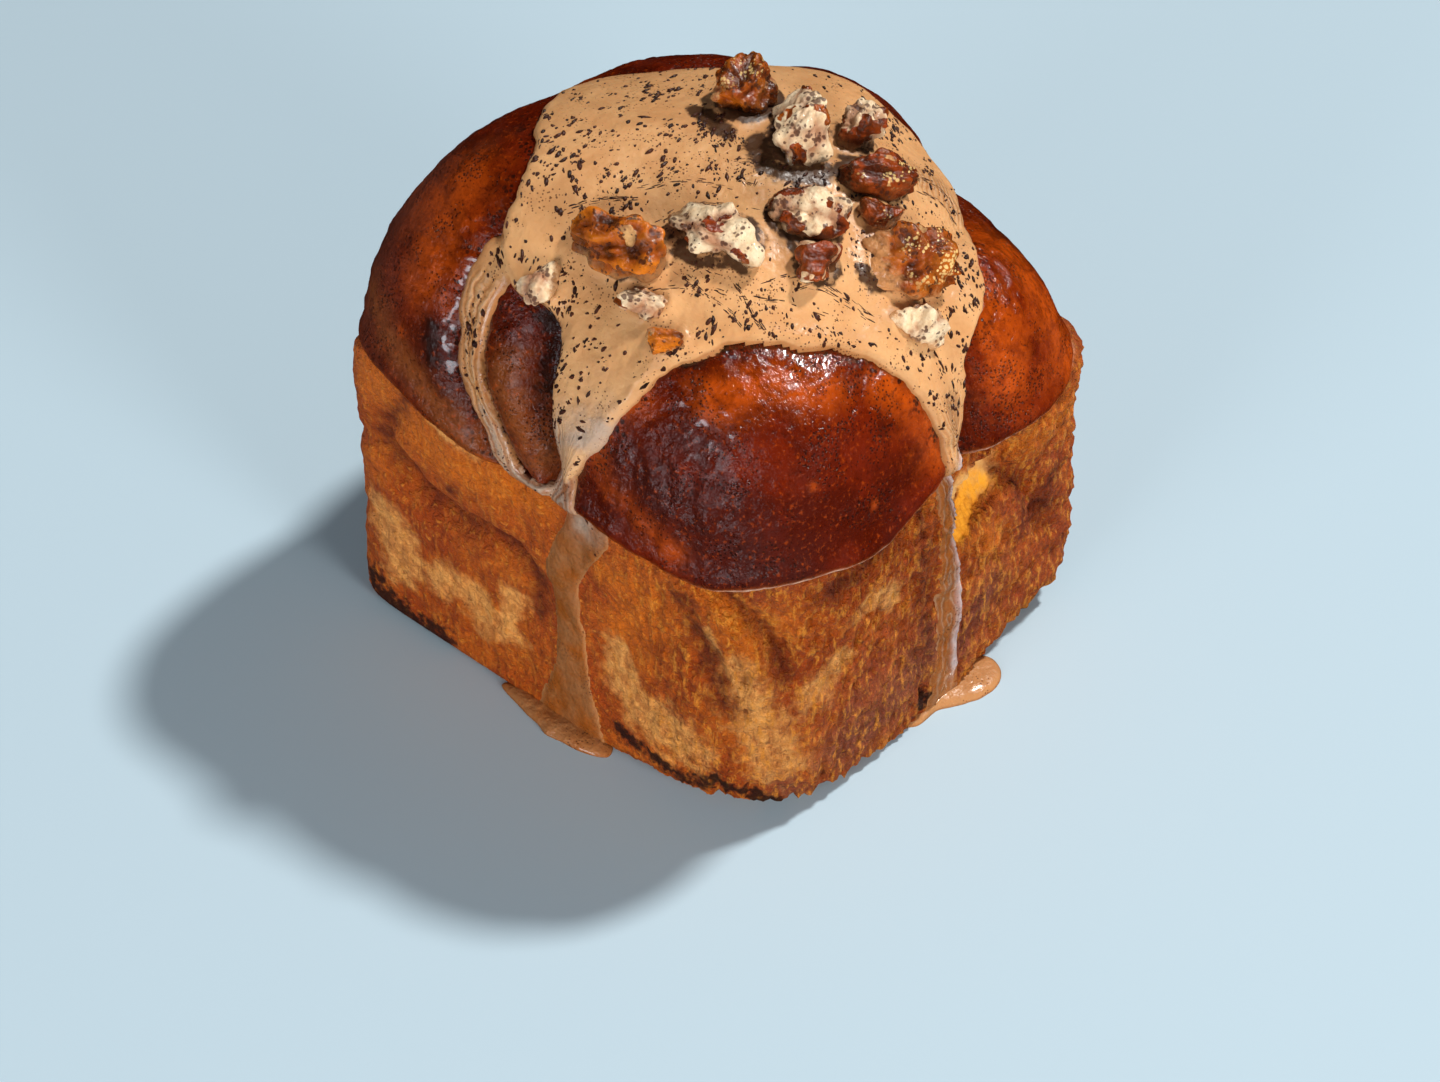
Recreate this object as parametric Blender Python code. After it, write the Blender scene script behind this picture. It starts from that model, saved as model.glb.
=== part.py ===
"""A pecan babka baked as a single tall bun: the loaf, its poured icing and the pecans on top.

The loaf stands on the XY plane with +Z up. Its baked sides are the straight walls that the tin gave it,
and its crown is a ring of swollen dough lobes that hang a little over the walls. The side faces towards
-Y and +X are the two that show the long runs of icing.

Every surface here is a distance from one point inside the loaf, the heart, as a function of the
direction: an azimuth in degrees from +X towards +Y, and an elevation in degrees above the horizontal.
Lengths are in millimetres until MM turns them into Blender's metres.
"""

import bmesh
import bpy
import numpy as np

MM = 0.001
CLEARANCE = 0.3                 # left between touching pieces

# The loaf: half widths of its walls and of its crown, measured from the heart
HEART_HEIGHT = 62.0
WALL_LEFT, WALL_RIGHT, WALL_FRONT, WALL_BACK = 55.1, 51.1, 48.6, 47.6
CROWN_LEFT, CROWN_RIGHT, CROWN_FRONT, CROWN_BACK = 57.3, 55.0, 53.9, 47.5
CROWN_RISE = 52.3
CROWN_SQUARENESS, CROWN_ROUNDNESS = 3.77, 2.15
WALL_SQUARENESS = 7.0
CORNER_SQUARENESS = {"front": 4.9, "left": 15.6, "right": 11.0, "back": 7.0}
FOOT_ROUNDING = {"front": 14.8, "left": 3.2, "right": 20.0, "back": 4.0}
EDGE_ROUNDING = 3.0
LIP_BAND = 1.5                  # half the height over which the crown steps out from the wall

# Where the crown meets the walls: azimuth and height above the base, all round
LIP = [(-135, 66), (-129, 61), (-119, 58.5), (-107, 57.5), (-95, 60), (-87, 64), (-79, 66.5), (-66, 64.5),
       (-55, 63.5), (-45, 66), (-35, 66.5), (-24, 65), (-10, 69), (1, 69.5), (9, 68), (23, 65.5), (37, 65),
       (60, 66), (90, 65), (110, 63), (135, 66), (158, 62), (180, 64), (205, 62)]

# Swellings of the crown and walls: azimuth, elevation, height, spread in degrees
SWELLINGS = [(-137, 15, 3.7, 26), (-150, 45, 7.2, 26), (165, 20, 2.7, 26), (140, 45, -2.5, 26),
             (95, 40, 7.3, 26), (45, 45, -6.0, 26), (42, 12, 2.6, 26), (-42, 24, 1.6, 22),
             (27, 20, 1.0, 18), (62, 8, -2.5, 12), (-101, 24, 1.2, 9), (-118, -13, 1.8, 12),
             (-72, -8, 1.0, 9)]

# Creases between the lobes, and where the dough has torn or folded: a width, then points along it
# as azimuth, elevation and depth
CREASES = {
    "left of tongue": (3.6, [(-128, 52, 0), (-119, 38, 2.5), (-114, 24, 5), (-108, 15, 5.5), (-100, 6, 5),
                             (-89, 2, 3)]),
    "right of tongue": (3.8, [(-106, 56, 0), (-98, 38, 3), (-94, 25, 5), (-88, 14, 6), (-87, 3, 3)]),
    "behind front lobe": (7.0, [(-104, 46, 2), (-85, 49, 3), (-60, 50, 3), (-38, 49, 3), (-15, 46, 3)]),
    "right of front lobe": (4.6, [(-12, 56, 0), (3, 38, 5), (5, 28, 7), (4, 20, 7), (1, 12, 5), (-1, 5, 2)]),
    "above right lobe": (5.0, [(66, 34, 0), (47, 37, 4), (34, 42, 5), (17, 45, 4), (4, 42, 3)]),
    "back ridge": (4.0, [(176, 34, 0), (168, 42, 3), (160, 52, 3), (143, 55, 3), (128, 53, 0)]),
    "back fold": (6.0, [(128, 56, 0), (118, 36, 4), (112, 18, 5), (110, 4, 3)]),
    "right fold": (6.0, [(66, 44, 0), (70, 28, 4), (74, 14, 5), (73, 4, 3)]),
    "left fold": (6.0, [(-176, 46, 0), (-179, 30, 3), (178, 14, 5), (179, 2, 3)]),
    "left strand": (3.0, [(-126, 3, 0), (-133, -10, 2.5), (-130, -18, 3.6), (-124, -23, 3.6), (-113, -24, 3.4),
                          (-104, -25, 3), (-98, -30, 1.5), (-95, -38, 0)]),
    "front strand": (2.6, [(-70, 4, 0), (-61, 0, 2), (-54, -3, 3.2), (-47, -8, 3.2), (-42, -15, 2.6),
                           (-39, -23, 1.5), (-37, -31, 0)]),
    "side strand": (4.0, [(-62, -7, 0), (-56, -15, 1.6), (-53, -23, 1.8), (-50, -33, 0)]),
    "right strand": (3.0, [(22, -9, 2), (29, -20, 3), (34, -33, 2), (34, -42, 0)]),
    "back strand": (4.0, [(165, -4, 0), (140, -12, 3), (118, -20, 2), (100, -24, 0)]),
    "far strand": (4.0, [(92, -3, 0), (78, -12, 3), (60, -18, 3), (48, -30, 0)]),
}
# The torn window under the right lip: azimuth, elevation, half width and half height in degrees, depth
WINDOW = (15.5, -12.0, 9.0, 7.5, 6.0)

# The icing: the elevation of its edge all round the crown, and its thickness
ICING_EDGE = [(-180, 51), (-160, 52), (-141, 53), (-127, 49), (-121, 43), (-116, 40), (-110, 39), (-104, 41),
              (-98, 40), (-95, 36), (-93, 28), (-90, 19.5), (-87, 12), (-85, 9), (-83, 12), (-80, 19),
              (-76, 25.5), (-72, 32), (-68, 39), (-63, 42.5), (-52, 46), (-38, 45.5), (-24, 43), (-17, 39),
              (-11, 34), (-8, 29), (-5, 21), (-2, 14), (0, 13), (3, 15), (6, 21), (9, 27), (14, 30),
              (22, 32), (31, 36), (40, 37), (54, 38), (66, 42), (84, 49), (99, 52), (113, 56), (136, 60),
              (150, 59), (160, 57), (170, 53)]
ICING_THICKNESS, ICING_EDGE_THICKNESS = 1.7, 1.0
ICING_FILLS = 0.6               # the share of a crease that the icing fills
ICING_BURIED = 3.0              # how far a sheet is carried into the crust before it is cut
# Runs of icing: half width, height over the crust, then points along them as azimuth and elevation
RUNS = {
    "left": (2.7, 1.1, [(-114, 41), (-113, 31), (-111, 25), (-107.5, 19), (-103.5, 14), (-98.5, 10), (-93, 7.5),
                        (-88.5, 7.5)]),
    "middle": (3.3, 1.1, [(-86, 20), (-85, 10), (-84, -2), (-87, -12), (-89.5, -24), (-88, -35), (-88, -50)]),
    "right": (2.5, 1.4, [(1, 24), (-1, 15), (-2.5, 9), (0, -4), (1.5, -16), (3, -26), (3.5, -38), (4, -48.3)]),
}
# Puddles where a run meets the floor: outline round the foot of the wall, and height
PUDDLE_HEIGHT = 1.8
PUDDLES = {
    "left": [(-15.5, -49.0), (-8.5, -51.2), (0.3, -52.9), (8.3, -52.0), (12.6, -49.5), (8.0, -45.5),
             (-10.0, -45.5)],
    "right": [(46.5, -6.5), (51.5, -5.0), (52.2, 1.6), (55.0, 6.6), (57.0, 12.4), (54.8, 17.6), (50.5, 18.9),
              (47.0, 15.0), (46.0, 4.0)],
}

# Pecan pieces: azimuth, elevation, length, width, height, turn about the surface's normal, seed
PECANS = {
    "pecan_back": (122, 76.5, 15.6, 12.0, 12.5, 75, 1),
    "pecan_white_back": (53, 78.5, 15.6, 11.8, 14.2, 160, 2),
    "pecan_back_right": (60, 65.5, 9.6, 10.3, 10.5, 65, 3),
    "pecan_brown_right": (35, 63, 15.6, 9.6, 9.5, 110, 4),
    "pecan_glazed": (17, 59.5, 8.2, 6.6, 6.6, 150, 5),
    "pecan_middle": (-15, 67.5, 15.6, 10.5, 10.0, 145, 6),
    "pecan_small": (-21, 58.5, 9.5, 8.0, 8.0, 160, 7),
    "pecan_white_front": (-59, 66.5, 18.5, 11.9, 11.0, 0, 8),
    "pecan_orange": (-93, 58, 20.0, 11.9, 11.0, 15, 9),
    "pecan_chip_left": (-105, 43.5, 9.1, 7.5, 6.1, 80, 10),
    "pecan_pale": (-77, 51, 10.6, 7.0, 6.8, 15, 11),
    "pecan_large_right": (9, 49.5, 18.6, 14.2, 12.5, 145, 12),
    "pecan_white_right": (-1, 40, 12.6, 8.6, 8.4, 145, 13),
    "pecan_crumb": (-68, 45.5, 8.0, 6.5, 5.4, 15, 14),
}
PECAN_BREAKS = 7
PECAN_SQUARENESS = 2.7
PECAN_SINK = 0.3                # the share of a pecan's height that is under the icing's surface

# How finely each surface and path is divided
PATH_STEPS, PATH_SOFTNESS = 8, 900.0
# The sides with the deep creases and the runs take more steps round: first azimuth, last azimuth, steps
LOAF_STEPS = [(-134, 42, 66), (42, 226, 32)]
ICING_STEPS = [(-134, 42, 56), (42, 226, 28)]
ICING_ROWS, PECAN_AROUND, PECAN_ROWS = 8, 14, 8
RUN_AROUND, RUN_STEPS = 8, 3
FLOOR_ROWS = [-0.5, -0.16, -0.05]
WALL_ROWS = [0.0, 0.04, 0.1, 0.19, 0.32, 0.46, 0.6, 0.74, 0.86, 0.95]
CROWN_ROWS = [1.0, 1.022, 1.06, 1.11, 1.17, 1.24, 1.32, 1.4, 1.48, 1.56, 1.65, 1.75, 1.87]


def direction(azimuth, elevation):
    """Unit vectors that point at an azimuth and an elevation, both in degrees."""
    a, e = np.radians(azimuth), np.radians(elevation)
    return np.stack([np.cos(e) * np.cos(a), np.cos(e) * np.sin(a), np.sin(e) + 0 * a], axis=-1)


def azimuth_of(u):
    return np.degrees(np.arctan2(u[..., 1], u[..., 0]))


def smooth_through(points, steps, closed=False):
    """A smooth curve through points: a Catmull-Rom spline with some steps in each stretch between them."""
    points = np.array(points, float)
    if closed:
        knots = np.vstack([points[-1:], points, points[:2]])
    else:
        knots = np.vstack([2 * points[0] - points[1], points, 2 * points[-1] - points[-2]])
    before, start, end, after = knots[:-3], knots[1:-2], knots[2:-1], knots[3:]
    t = np.linspace(0, 1, steps, endpoint=False)[:, None, None]
    bend = start + t * (end - before) / 2 + t ** 2 * (before - 2.5 * start + 2 * end - after / 2)
    bend = bend + t ** 3 * (3 * start - before - 3 * end + after) / 2
    curve = np.swapaxes(bend, 0, 1).reshape(-1, points.shape[1])
    return curve if closed else np.vstack([curve, points[-1:]])


def round_table(azimuth, table):
    """A height listed at some azimuths, carried all round by a smooth curve through them."""
    table = sorted(((a + 180) % 360 - 180, height) for a, height in table)
    around, heights = np.array(table, float).T
    steps = 6
    fine_heights = smooth_through(heights[:, None], steps, closed=True)[:, 0]
    gaps = np.append(around[1:], around[0] + 360) - around
    fine_around = (around[:, None] + gaps[:, None] * np.arange(steps) / steps).ravel()
    return np.interp(azimuth, fine_around, fine_heights, period=360)


def smooth_step(x, low, high):
    t = np.clip((x - low) / (high - low), 0, 1)
    return t * t * (3 - 2 * t)


def smooth_min(a, b, blend):
    """The smaller of two lengths, rounded off where they differ by less than the blend."""
    h = np.clip(0.5 + 0.5 * (b - a) / blend, 0, 1)
    return b + (a - b) * h - blend * h * (1 - h)


def along_path(u, points):
    """How far each direction is from a smooth path, in millimetres on the crown, and the value there.

    The path's points are azimuth, elevation and a value.
    """
    points = np.array(points, float)
    spine = smooth_through(np.column_stack([direction(points[:, 0], points[:, 1]), points[:, 2]]), PATH_STEPS)
    squared = np.maximum(1 + (spine[:, :3] ** 2).sum(axis=1) - 2 * u @ spine[:, :3].T, 1e-9)
    nearest = squared.min(axis=-1)
    weight = np.exp(-(squared - nearest[..., None]) * PATH_SOFTNESS)
    value = (weight @ spine[:, 3]) / weight.sum(axis=-1)
    return np.sqrt(nearest) * HEART_HEIGHT, value


def by_corner(u, sizes, elsewhere):
    """A value given for each corner of the loaf, which fades to another in the middle of its sides."""
    x, y = u[..., 0], u[..., 1]
    front = np.where(x > 0, sizes["front"], sizes["left"])
    back = np.where(x > 0, sizes["right"], sizes["back"])
    cornerness = np.sin(np.radians(2 * azimuth_of(u))) ** 2
    return elsewhere + (np.where(y < 0, front, back) - elsewhere) * cornerness


def wall_distance(u):
    """A rounded square tube, rounded again into the flat base."""
    x, y, z = np.moveaxis(u, -1, 0)
    half_x = np.where(x < 0, WALL_LEFT, WALL_RIGHT)
    half_y = np.where(y < 0, WALL_FRONT, WALL_BACK)
    square = by_corner(u, CORNER_SQUARENESS, WALL_SQUARENESS)
    tube = 1 / np.maximum((np.abs(x / half_x) ** square + np.abs(y / half_y) ** square) ** (1 / square), 1e-6)
    floor = np.where(z < -0.01, HEART_HEIGHT / np.maximum(-z, 0.01), 500)
    return smooth_min(np.minimum(tube, 500), floor, by_corner(u, FOOT_ROUNDING, EDGE_ROUNDING))


def crown_distance(u):
    """A squarish dome with the lobes' swellings on it."""
    x, y, z = np.moveaxis(u, -1, 0)
    half_x = np.where(x < 0, CROWN_LEFT, CROWN_RIGHT)
    half_y = np.where(y < 0, CROWN_FRONT, CROWN_BACK)
    plan = np.abs(x / half_x) ** CROWN_SQUARENESS + np.abs(y / half_y) ** CROWN_SQUARENESS
    rise = np.abs(z / CROWN_RISE) ** CROWN_ROUNDNESS
    return 1 / (plan ** (CROWN_ROUNDNESS / CROWN_SQUARENESS) + rise) ** (1 / CROWN_ROUNDNESS)


def swelling(u):
    total = np.zeros(u.shape[:-1])
    for azimuth, elevation, height, spread in SWELLINGS:
        closeness = u @ direction(azimuth, elevation) - 1
        total += height * np.exp(closeness / (1 - np.cos(np.radians(spread))))
    return total


def creasing(u, share_filled=0.0):
    """The depth of the creases: a sharp valley with soft shoulders on each side of every path."""
    total = np.zeros(u.shape[:-1])
    for width, points in CREASES.values():
        away, depth = along_path(u, points)
        valley = 0.6 * np.exp(-(away / width) ** 2) + 0.4 * np.exp(-away / width)
        total = np.maximum(total, depth * valley)
    return total * (1 - share_filled)


def torn_window(u):
    """A flat-bottomed pit in the wall where a layer of dough has pulled away."""
    azimuth, elevation, half_width, half_height, depth = WINDOW
    across = (azimuth_of(u) - azimuth) / half_width
    up = (np.degrees(np.arcsin(u[..., 2])) - elevation) / half_height
    return depth * np.exp(-(across ** 4 + up ** 4))


def lip_elevation(azimuth):
    """The elevation at which the crown steps out from the wall, seen from the heart."""
    reach = crown_distance(direction(azimuth, 0 * azimuth))
    return np.degrees(np.arctan2(round_table(azimuth, LIP) - HEART_HEIGHT, reach))


def loaf_distance(u, share_filled=0.0):
    """From the heart to the loaf's surface: walls below the lip and crown above it."""
    azimuth = azimuth_of(u)
    elevation = np.degrees(np.arcsin(np.clip(u[..., 2], -1, 1)))
    crown = crown_distance(u) + swelling(u)
    band = np.degrees(LIP_BAND / HEART_HEIGHT)
    lip = lip_elevation(azimuth)
    is_crown = smooth_step(elevation, lip - band, lip + band)
    relief = creasing(u, share_filled) + torn_window(u) * (1 - is_crown)
    standing = smooth_step(elevation, -52, -40)
    wall = wall_distance(u) + (swelling(u) * 0.4 - relief) * standing
    return wall * (1 - is_crown) + (crown - relief) * is_crown


def azimuths(stretches):
    pieces = [np.linspace(first, last, steps, endpoint=False) for first, last, steps in stretches]
    return np.concatenate(pieces)


def loaf_rows(azimuth, rows):
    """Directions on a grid: floor rows below 0, wall rows from 0 to 1 at the lip, crown rows up to 2."""
    azimuth = azimuth + 0 * np.array(rows)[:, None]
    level = direction(azimuth, 0 * azimuth)
    foot = -np.degrees(np.arctan2(HEART_HEIGHT, wall_distance(level)))
    lip = lip_elevation(azimuth)
    share = np.array(rows, float)[:, None]
    below = foot + share * (90 + foot)
    wall = foot + share * (lip - foot)
    crown = lip + (share - 1) * (90 - lip)
    return direction(azimuth, np.where(share < 0, below, np.where(share < 1, wall, crown)))


def ball_faces(around, rows):
    """Triangles of a grid of rings closed by a pole at each end: the bottom pole is point 0, the top is last.

    Triangles, because a bent square can be split along either diagonal, and a cutter has to match its loaf.
    """
    faces = []
    top = around * rows + 1
    for i in range(around):
        j = (i + 1) % around
        faces.append((0, 1 + j, 1 + i))
        faces.append((top, top - around + i, top - around + j))
        for r in range(rows - 1):
            low, high = 1 + r * around, 1 + (r + 1) * around
            faces.append((low + i, low + j, high + j))
            faces.append((low + i, high + j, high + i))
    return faces


def add_solid(name, points, faces, finish=None):
    """A closed mesh object from points in millimetres; one without a finish is a cutter and isn't kept."""
    mesh = bpy.data.meshes.new(name)
    mesh.from_pydata((np.asarray(points) * MM).tolist(), [], faces)
    shell = bmesh.new()
    shell.from_mesh(mesh)
    bmesh.ops.recalc_face_normals(shell, faces=shell.faces)
    shell.to_mesh(mesh)
    shell.free()
    mesh.shade_smooth()
    solid = bpy.data.objects.new(name, mesh)
    bpy.context.collection.objects.link(solid)
    if finish:
        mesh.materials.append(finish)
    else:
        solid.hide_render = True
        solid.display_type = "WIRE"
    return solid


def cut(solid, cutter, operation="DIFFERENCE", solver="EXACT"):
    boolean = solid.modifiers.new(operation.title() + " " + cutter.name, "BOOLEAN")
    boolean.operation = operation
    boolean.solver = solver
    boolean.object = cutter


def baked_finish(name, colour, roughness, coat=0.0):
    finish = bpy.data.materials.new(name)
    finish.use_nodes = True
    shader = finish.node_tree.nodes["Principled BSDF"]
    shader.inputs["Base Color"].default_value = (*colour, 1)
    shader.inputs["Roughness"].default_value = roughness
    shader.inputs["Coat Weight"].default_value = coat
    finish.diffuse_color = (*colour, 1)
    return finish


def from_heart(u, distance):
    return u * distance[..., None] + np.array([0, 0, HEART_HEIGHT])


def loaf_solid(name, grown, finish=None):
    """The loaf on its own grid, or the same facets pushed out by a clearance to cut what lies on it."""
    rows = FLOOR_ROWS + WALL_ROWS + CROWN_ROWS
    azimuth = azimuths(LOAF_STEPS)
    u = loaf_rows(azimuth, rows)
    ring = from_heart(u, loaf_distance(u) + grown)
    bottom = [[0, 0, -grown]]
    top_u = np.array([0.0, 0.0, 1.0])
    top = from_heart(top_u, loaf_distance(top_u[None]) + grown)
    points = np.vstack([bottom, ring.reshape(-1, 3), top])
    return add_solid(name, points, ball_faces(len(azimuth), len(rows)), finish)


def icing_thickness(share):
    """Thickest in the middle, and still a rounded step at the edge; the share runs from centre to edge."""
    return ICING_EDGE_THICKNESS + (ICING_THICKNESS - ICING_EDGE_THICKNESS) * (1 - share ** 6)


def icing_sheet(name, grown, finish=None):
    """The poured sheet: rings from the top out to its edge, then back underneath, inside the crust."""
    azimuth = azimuths(ICING_STEPS)
    edge = round_table(azimuth, ICING_EDGE)
    share = np.linspace(0, 1, ICING_ROWS + 1)[1:, None]
    u = direction(azimuth + 0 * share, 90 - share * (90 - edge))
    over = from_heart(u, loaf_distance(u, ICING_FILLS) + CLEARANCE + icing_thickness(share) + grown)
    under = from_heart(u, loaf_distance(u) - ICING_BURIED)
    up = np.array([[0.0, 0.0, 1.0]])
    peak = from_heart(up, loaf_distance(up) + CLEARANCE + ICING_THICKNESS + grown)
    hollow = from_heart(up, loaf_distance(up) - ICING_BURIED)
    points = np.vstack([hollow, under.reshape(-1, 3), over[::-1].reshape(-1, 3), peak])
    return add_solid(name, points, ball_faces(len(azimuth), 2 * ICING_ROWS), finish)


def icing_run(name, half_width, height, points):
    """A run of icing down the loaf: a flattened round bead carried along its path, with rounded ends."""
    azimuth, elevation = smooth_through(points, RUN_STEPS).T
    u = direction(azimuth, elevation)
    centre = from_heart(u, loaf_distance(u, ICING_FILLS) + CLEARANCE)
    along = np.gradient(centre, axis=0)
    across = np.cross(along, u)
    across /= np.linalg.norm(across, axis=1)[:, None]
    turn = np.linspace(0, 2 * np.pi, RUN_AROUND, endpoint=False)[:, None, None]
    taper = np.sqrt(1 - 0.7 * np.linspace(-1, 1, len(u)) ** 8)[:, None]
    rings = centre + taper * (half_width * np.cos(turn) * across + height * np.sin(turn) * u)
    rings = np.swapaxes(rings, 0, 1)
    points = np.vstack([centre[:1], rings.reshape(-1, 3), centre[-1:]])
    return add_solid(name, points, ball_faces(RUN_AROUND, len(u)))


def puddle_solid(name, outline, finish):
    """A low drop on the floor: its outline at the base and a smaller copy of it on top."""
    base = smooth_through(outline, 3, closed=True)
    middle = base.mean(axis=0)
    heights = np.array([[0.0, 0.6, 1.0]]).T * PUDDLE_HEIGHT
    spreads = np.array([1.0, 0.97, 0.85])
    rings = [np.column_stack([middle + (base - middle) * spread, 0 * base[:, 0] + height[0]])
             for spread, height in zip(spreads, heights)]
    points = np.vstack([[*middle, 0.0], *rings, [*middle, PUDDLE_HEIGHT]])
    return add_solid(name, points, ball_faces(len(base), len(rings)), finish)


def pecan_form(azimuth_count, rows, seed):
    """A broken kernel of half size 1 each way: the smooth least of a squarish ball and of flat breaks."""
    draw = np.random.default_rng(seed)
    breaks = draw.normal(size=(PECAN_BREAKS, 3))
    breaks /= np.linalg.norm(breaks, axis=1)[:, None]
    depths = draw.uniform(0.55, 0.85, PECAN_BREAKS)
    elevation = np.linspace(-90, 90, rows + 2)[1:-1, None]
    azimuth = np.linspace(-180, 180, azimuth_count, endpoint=False)
    u = direction(azimuth + 0 * elevation, elevation + 0 * azimuth).reshape(-1, 3)
    u = np.vstack([[0, 0, -1], u, [0, 0, 1]])
    reach = 1 / (np.abs(u) ** PECAN_SQUARENESS).sum(axis=1) ** (1 / PECAN_SQUARENESS)
    for normal, depth in zip(breaks, depths):
        reach = smooth_min(reach, depth / np.maximum(u @ normal, 0.05), 0.12)
    reach *= 1 + 0.06 * np.sin(u @ draw.uniform(-9, 9, 3) + 1) * np.sin(u @ draw.uniform(-9, 9, 3))
    points = u * reach[:, None]
    return points / np.abs(points).max(axis=0)


def pecan_solid(name, azimuth, elevation, length, width, height, turn, seed, finish):
    """A kernel laid on the icing, its length turned about the surface's normal."""
    up = direction(azimuth, elevation)
    east = direction(azimuth + 90, 0)
    north = np.cross(up, east)
    c, s = np.cos(np.radians(turn)), np.sin(np.radians(turn))
    axes = np.stack([c * east + s * north, c * north - s * east, up])
    form = pecan_form(PECAN_AROUND, PECAN_ROWS, seed) * np.array([length, width, height]) / 2
    lie = loaf_distance(up[None], ICING_FILLS) + CLEARANCE + ICING_THICKNESS + (0.5 - PECAN_SINK) * height
    points = from_heart(up, lie) + form @ axes
    return add_solid(name, points, ball_faces(PECAN_AROUND, PECAN_ROWS), finish)


def build_babka():
    crust = baked_finish("baked crust", (0.38, 0.13, 0.035), 0.35, coat=0.3)
    icing = baked_finish("coffee icing", (0.55, 0.33, 0.16), 0.25, coat=0.4)
    kernel = baked_finish("candied pecan", (0.33, 0.14, 0.05), 0.3, coat=0.5)
    loaf_solid("loaf", 0.0, crust)
    loaf_cutter = loaf_solid("loaf cutter", CLEARANCE)
    sheet_cutter = icing_sheet("icing cutter", CLEARANCE)
    sheet = icing_sheet("icing", 0.0, icing)
    for name, (half_width, height, points) in RUNS.items():
        cut(sheet, icing_run("run " + name, half_width, height, points), "UNION", "MANIFOLD")
    cut(sheet, loaf_cutter, solver="MANIFOLD")
    for name, outline in PUDDLES.items():
        cut(puddle_solid("icing_puddle_" + name, outline, icing), loaf_cutter)
    for name, values in PECANS.items():
        pecan = pecan_solid(name, *values, kernel)
        cut(pecan, loaf_cutter)
        cut(pecan, sheet_cutter)


for existing in list(bpy.data.objects):
    bpy.data.objects.remove(existing, do_unlink=True)
build_babka()
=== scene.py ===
"""The looks of a pecan babka: its crust and torn crumb, the poured icing with its specks, and the pecans.

Every surface is a distance from the heart, a point inside the loaf, as a function of the direction: an
azimuth in degrees from +X towards +Y, and an elevation in degrees above the horizontal. Grids of directions
are whole arrays, and so are the distances, the relief and the masks that the materials read.
Lengths are in millimetres until MM turns them into metres.
"""

import bpy
import numpy as np
from mathutils import Matrix

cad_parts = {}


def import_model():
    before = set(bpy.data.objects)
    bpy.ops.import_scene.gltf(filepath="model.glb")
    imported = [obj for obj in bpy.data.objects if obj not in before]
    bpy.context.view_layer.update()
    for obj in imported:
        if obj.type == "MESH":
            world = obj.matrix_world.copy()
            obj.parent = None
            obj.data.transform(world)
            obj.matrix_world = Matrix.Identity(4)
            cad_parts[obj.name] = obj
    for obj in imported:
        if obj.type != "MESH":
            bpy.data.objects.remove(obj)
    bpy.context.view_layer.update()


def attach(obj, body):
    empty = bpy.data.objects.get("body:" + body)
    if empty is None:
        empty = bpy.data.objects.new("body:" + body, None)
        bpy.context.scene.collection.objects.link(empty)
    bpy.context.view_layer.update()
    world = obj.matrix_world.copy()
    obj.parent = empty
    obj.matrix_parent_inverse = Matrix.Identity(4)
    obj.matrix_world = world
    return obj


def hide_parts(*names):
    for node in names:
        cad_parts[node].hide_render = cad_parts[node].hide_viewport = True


MM = 0.001
CLEARANCE = 0.3

# The loaf's main shape, as its solid has it but for the lip of the left lobe
HEART_HEIGHT = 62.0
WALL_LEFT, WALL_RIGHT, WALL_FRONT, WALL_BACK = 55.1, 51.1, 48.6, 47.6
CROWN_LEFT, CROWN_RIGHT, CROWN_FRONT, CROWN_BACK = 57.3, 55.0, 53.9, 47.5
CROWN_RISE = 52.3
CROWN_SQUARENESS, CROWN_ROUNDNESS = 3.77, 2.15
WALL_SQUARENESS = 7.0
CORNER_SQUARENESS = {"front": 4.9, "left": 15.6, "right": 11.0, "back": 7.0}
FOOT_ROUNDING = {"front": 14.8, "left": 3.2, "right": 20.0, "back": 4.0}
EDGE_ROUNDING = 3.0
LIP_BAND = 0.7
FAR = 500.0
# Above the base the relief comes in between two elevations, and the walls take a share of the swellings
STANDING, SWOLLEN_WALL = (-52.0, -40.0), 0.4
# The crown's overhang: how far out, how far above the lip, how soft. The tuck under it: how far in, how soft
OVERHANG, TUCK = (1.3, 2.5, 8.0), (0.9, 3.0)

# Where the crown meets the walls: azimuth and height above the base
LIP = [
    (-135, 67.5), (-129, 69.5), (-122, 69), (-116, 67), (-109, 65.5), (-100, 65), (-93, 65), (-86, 65.5),
    (-79, 66.5), (-66, 64.5), (-55, 63.5), (-45, 66), (-35, 66.5), (-24, 65), (-10, 69), (1, 69.5), (9, 68),
    (23, 65.5), (37, 65), (60, 66), (90, 65), (110, 63), (135, 66), (158, 62), (180, 64), (205, 62),
]

# Swellings: azimuth, elevation, height, spread in degrees
SWELLINGS = [
    (-137, 15, 3.7, 26), (-150, 45, 7.2, 26), (165, 20, 2.7, 26), (140, 45, -2.5, 26), (95, 40, 7.3, 26),
    (45, 45, -6.0, 26), (42, 12, 2.6, 26), (-42, 24, 1.6, 22), (27, 20, 1.0, 18), (62, 8, -2.5, 12),
    (-101, 24, 1.2, 9), (-118, -13, 1.8, 12), (-72, -8, 1.0, 9),
]

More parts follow.
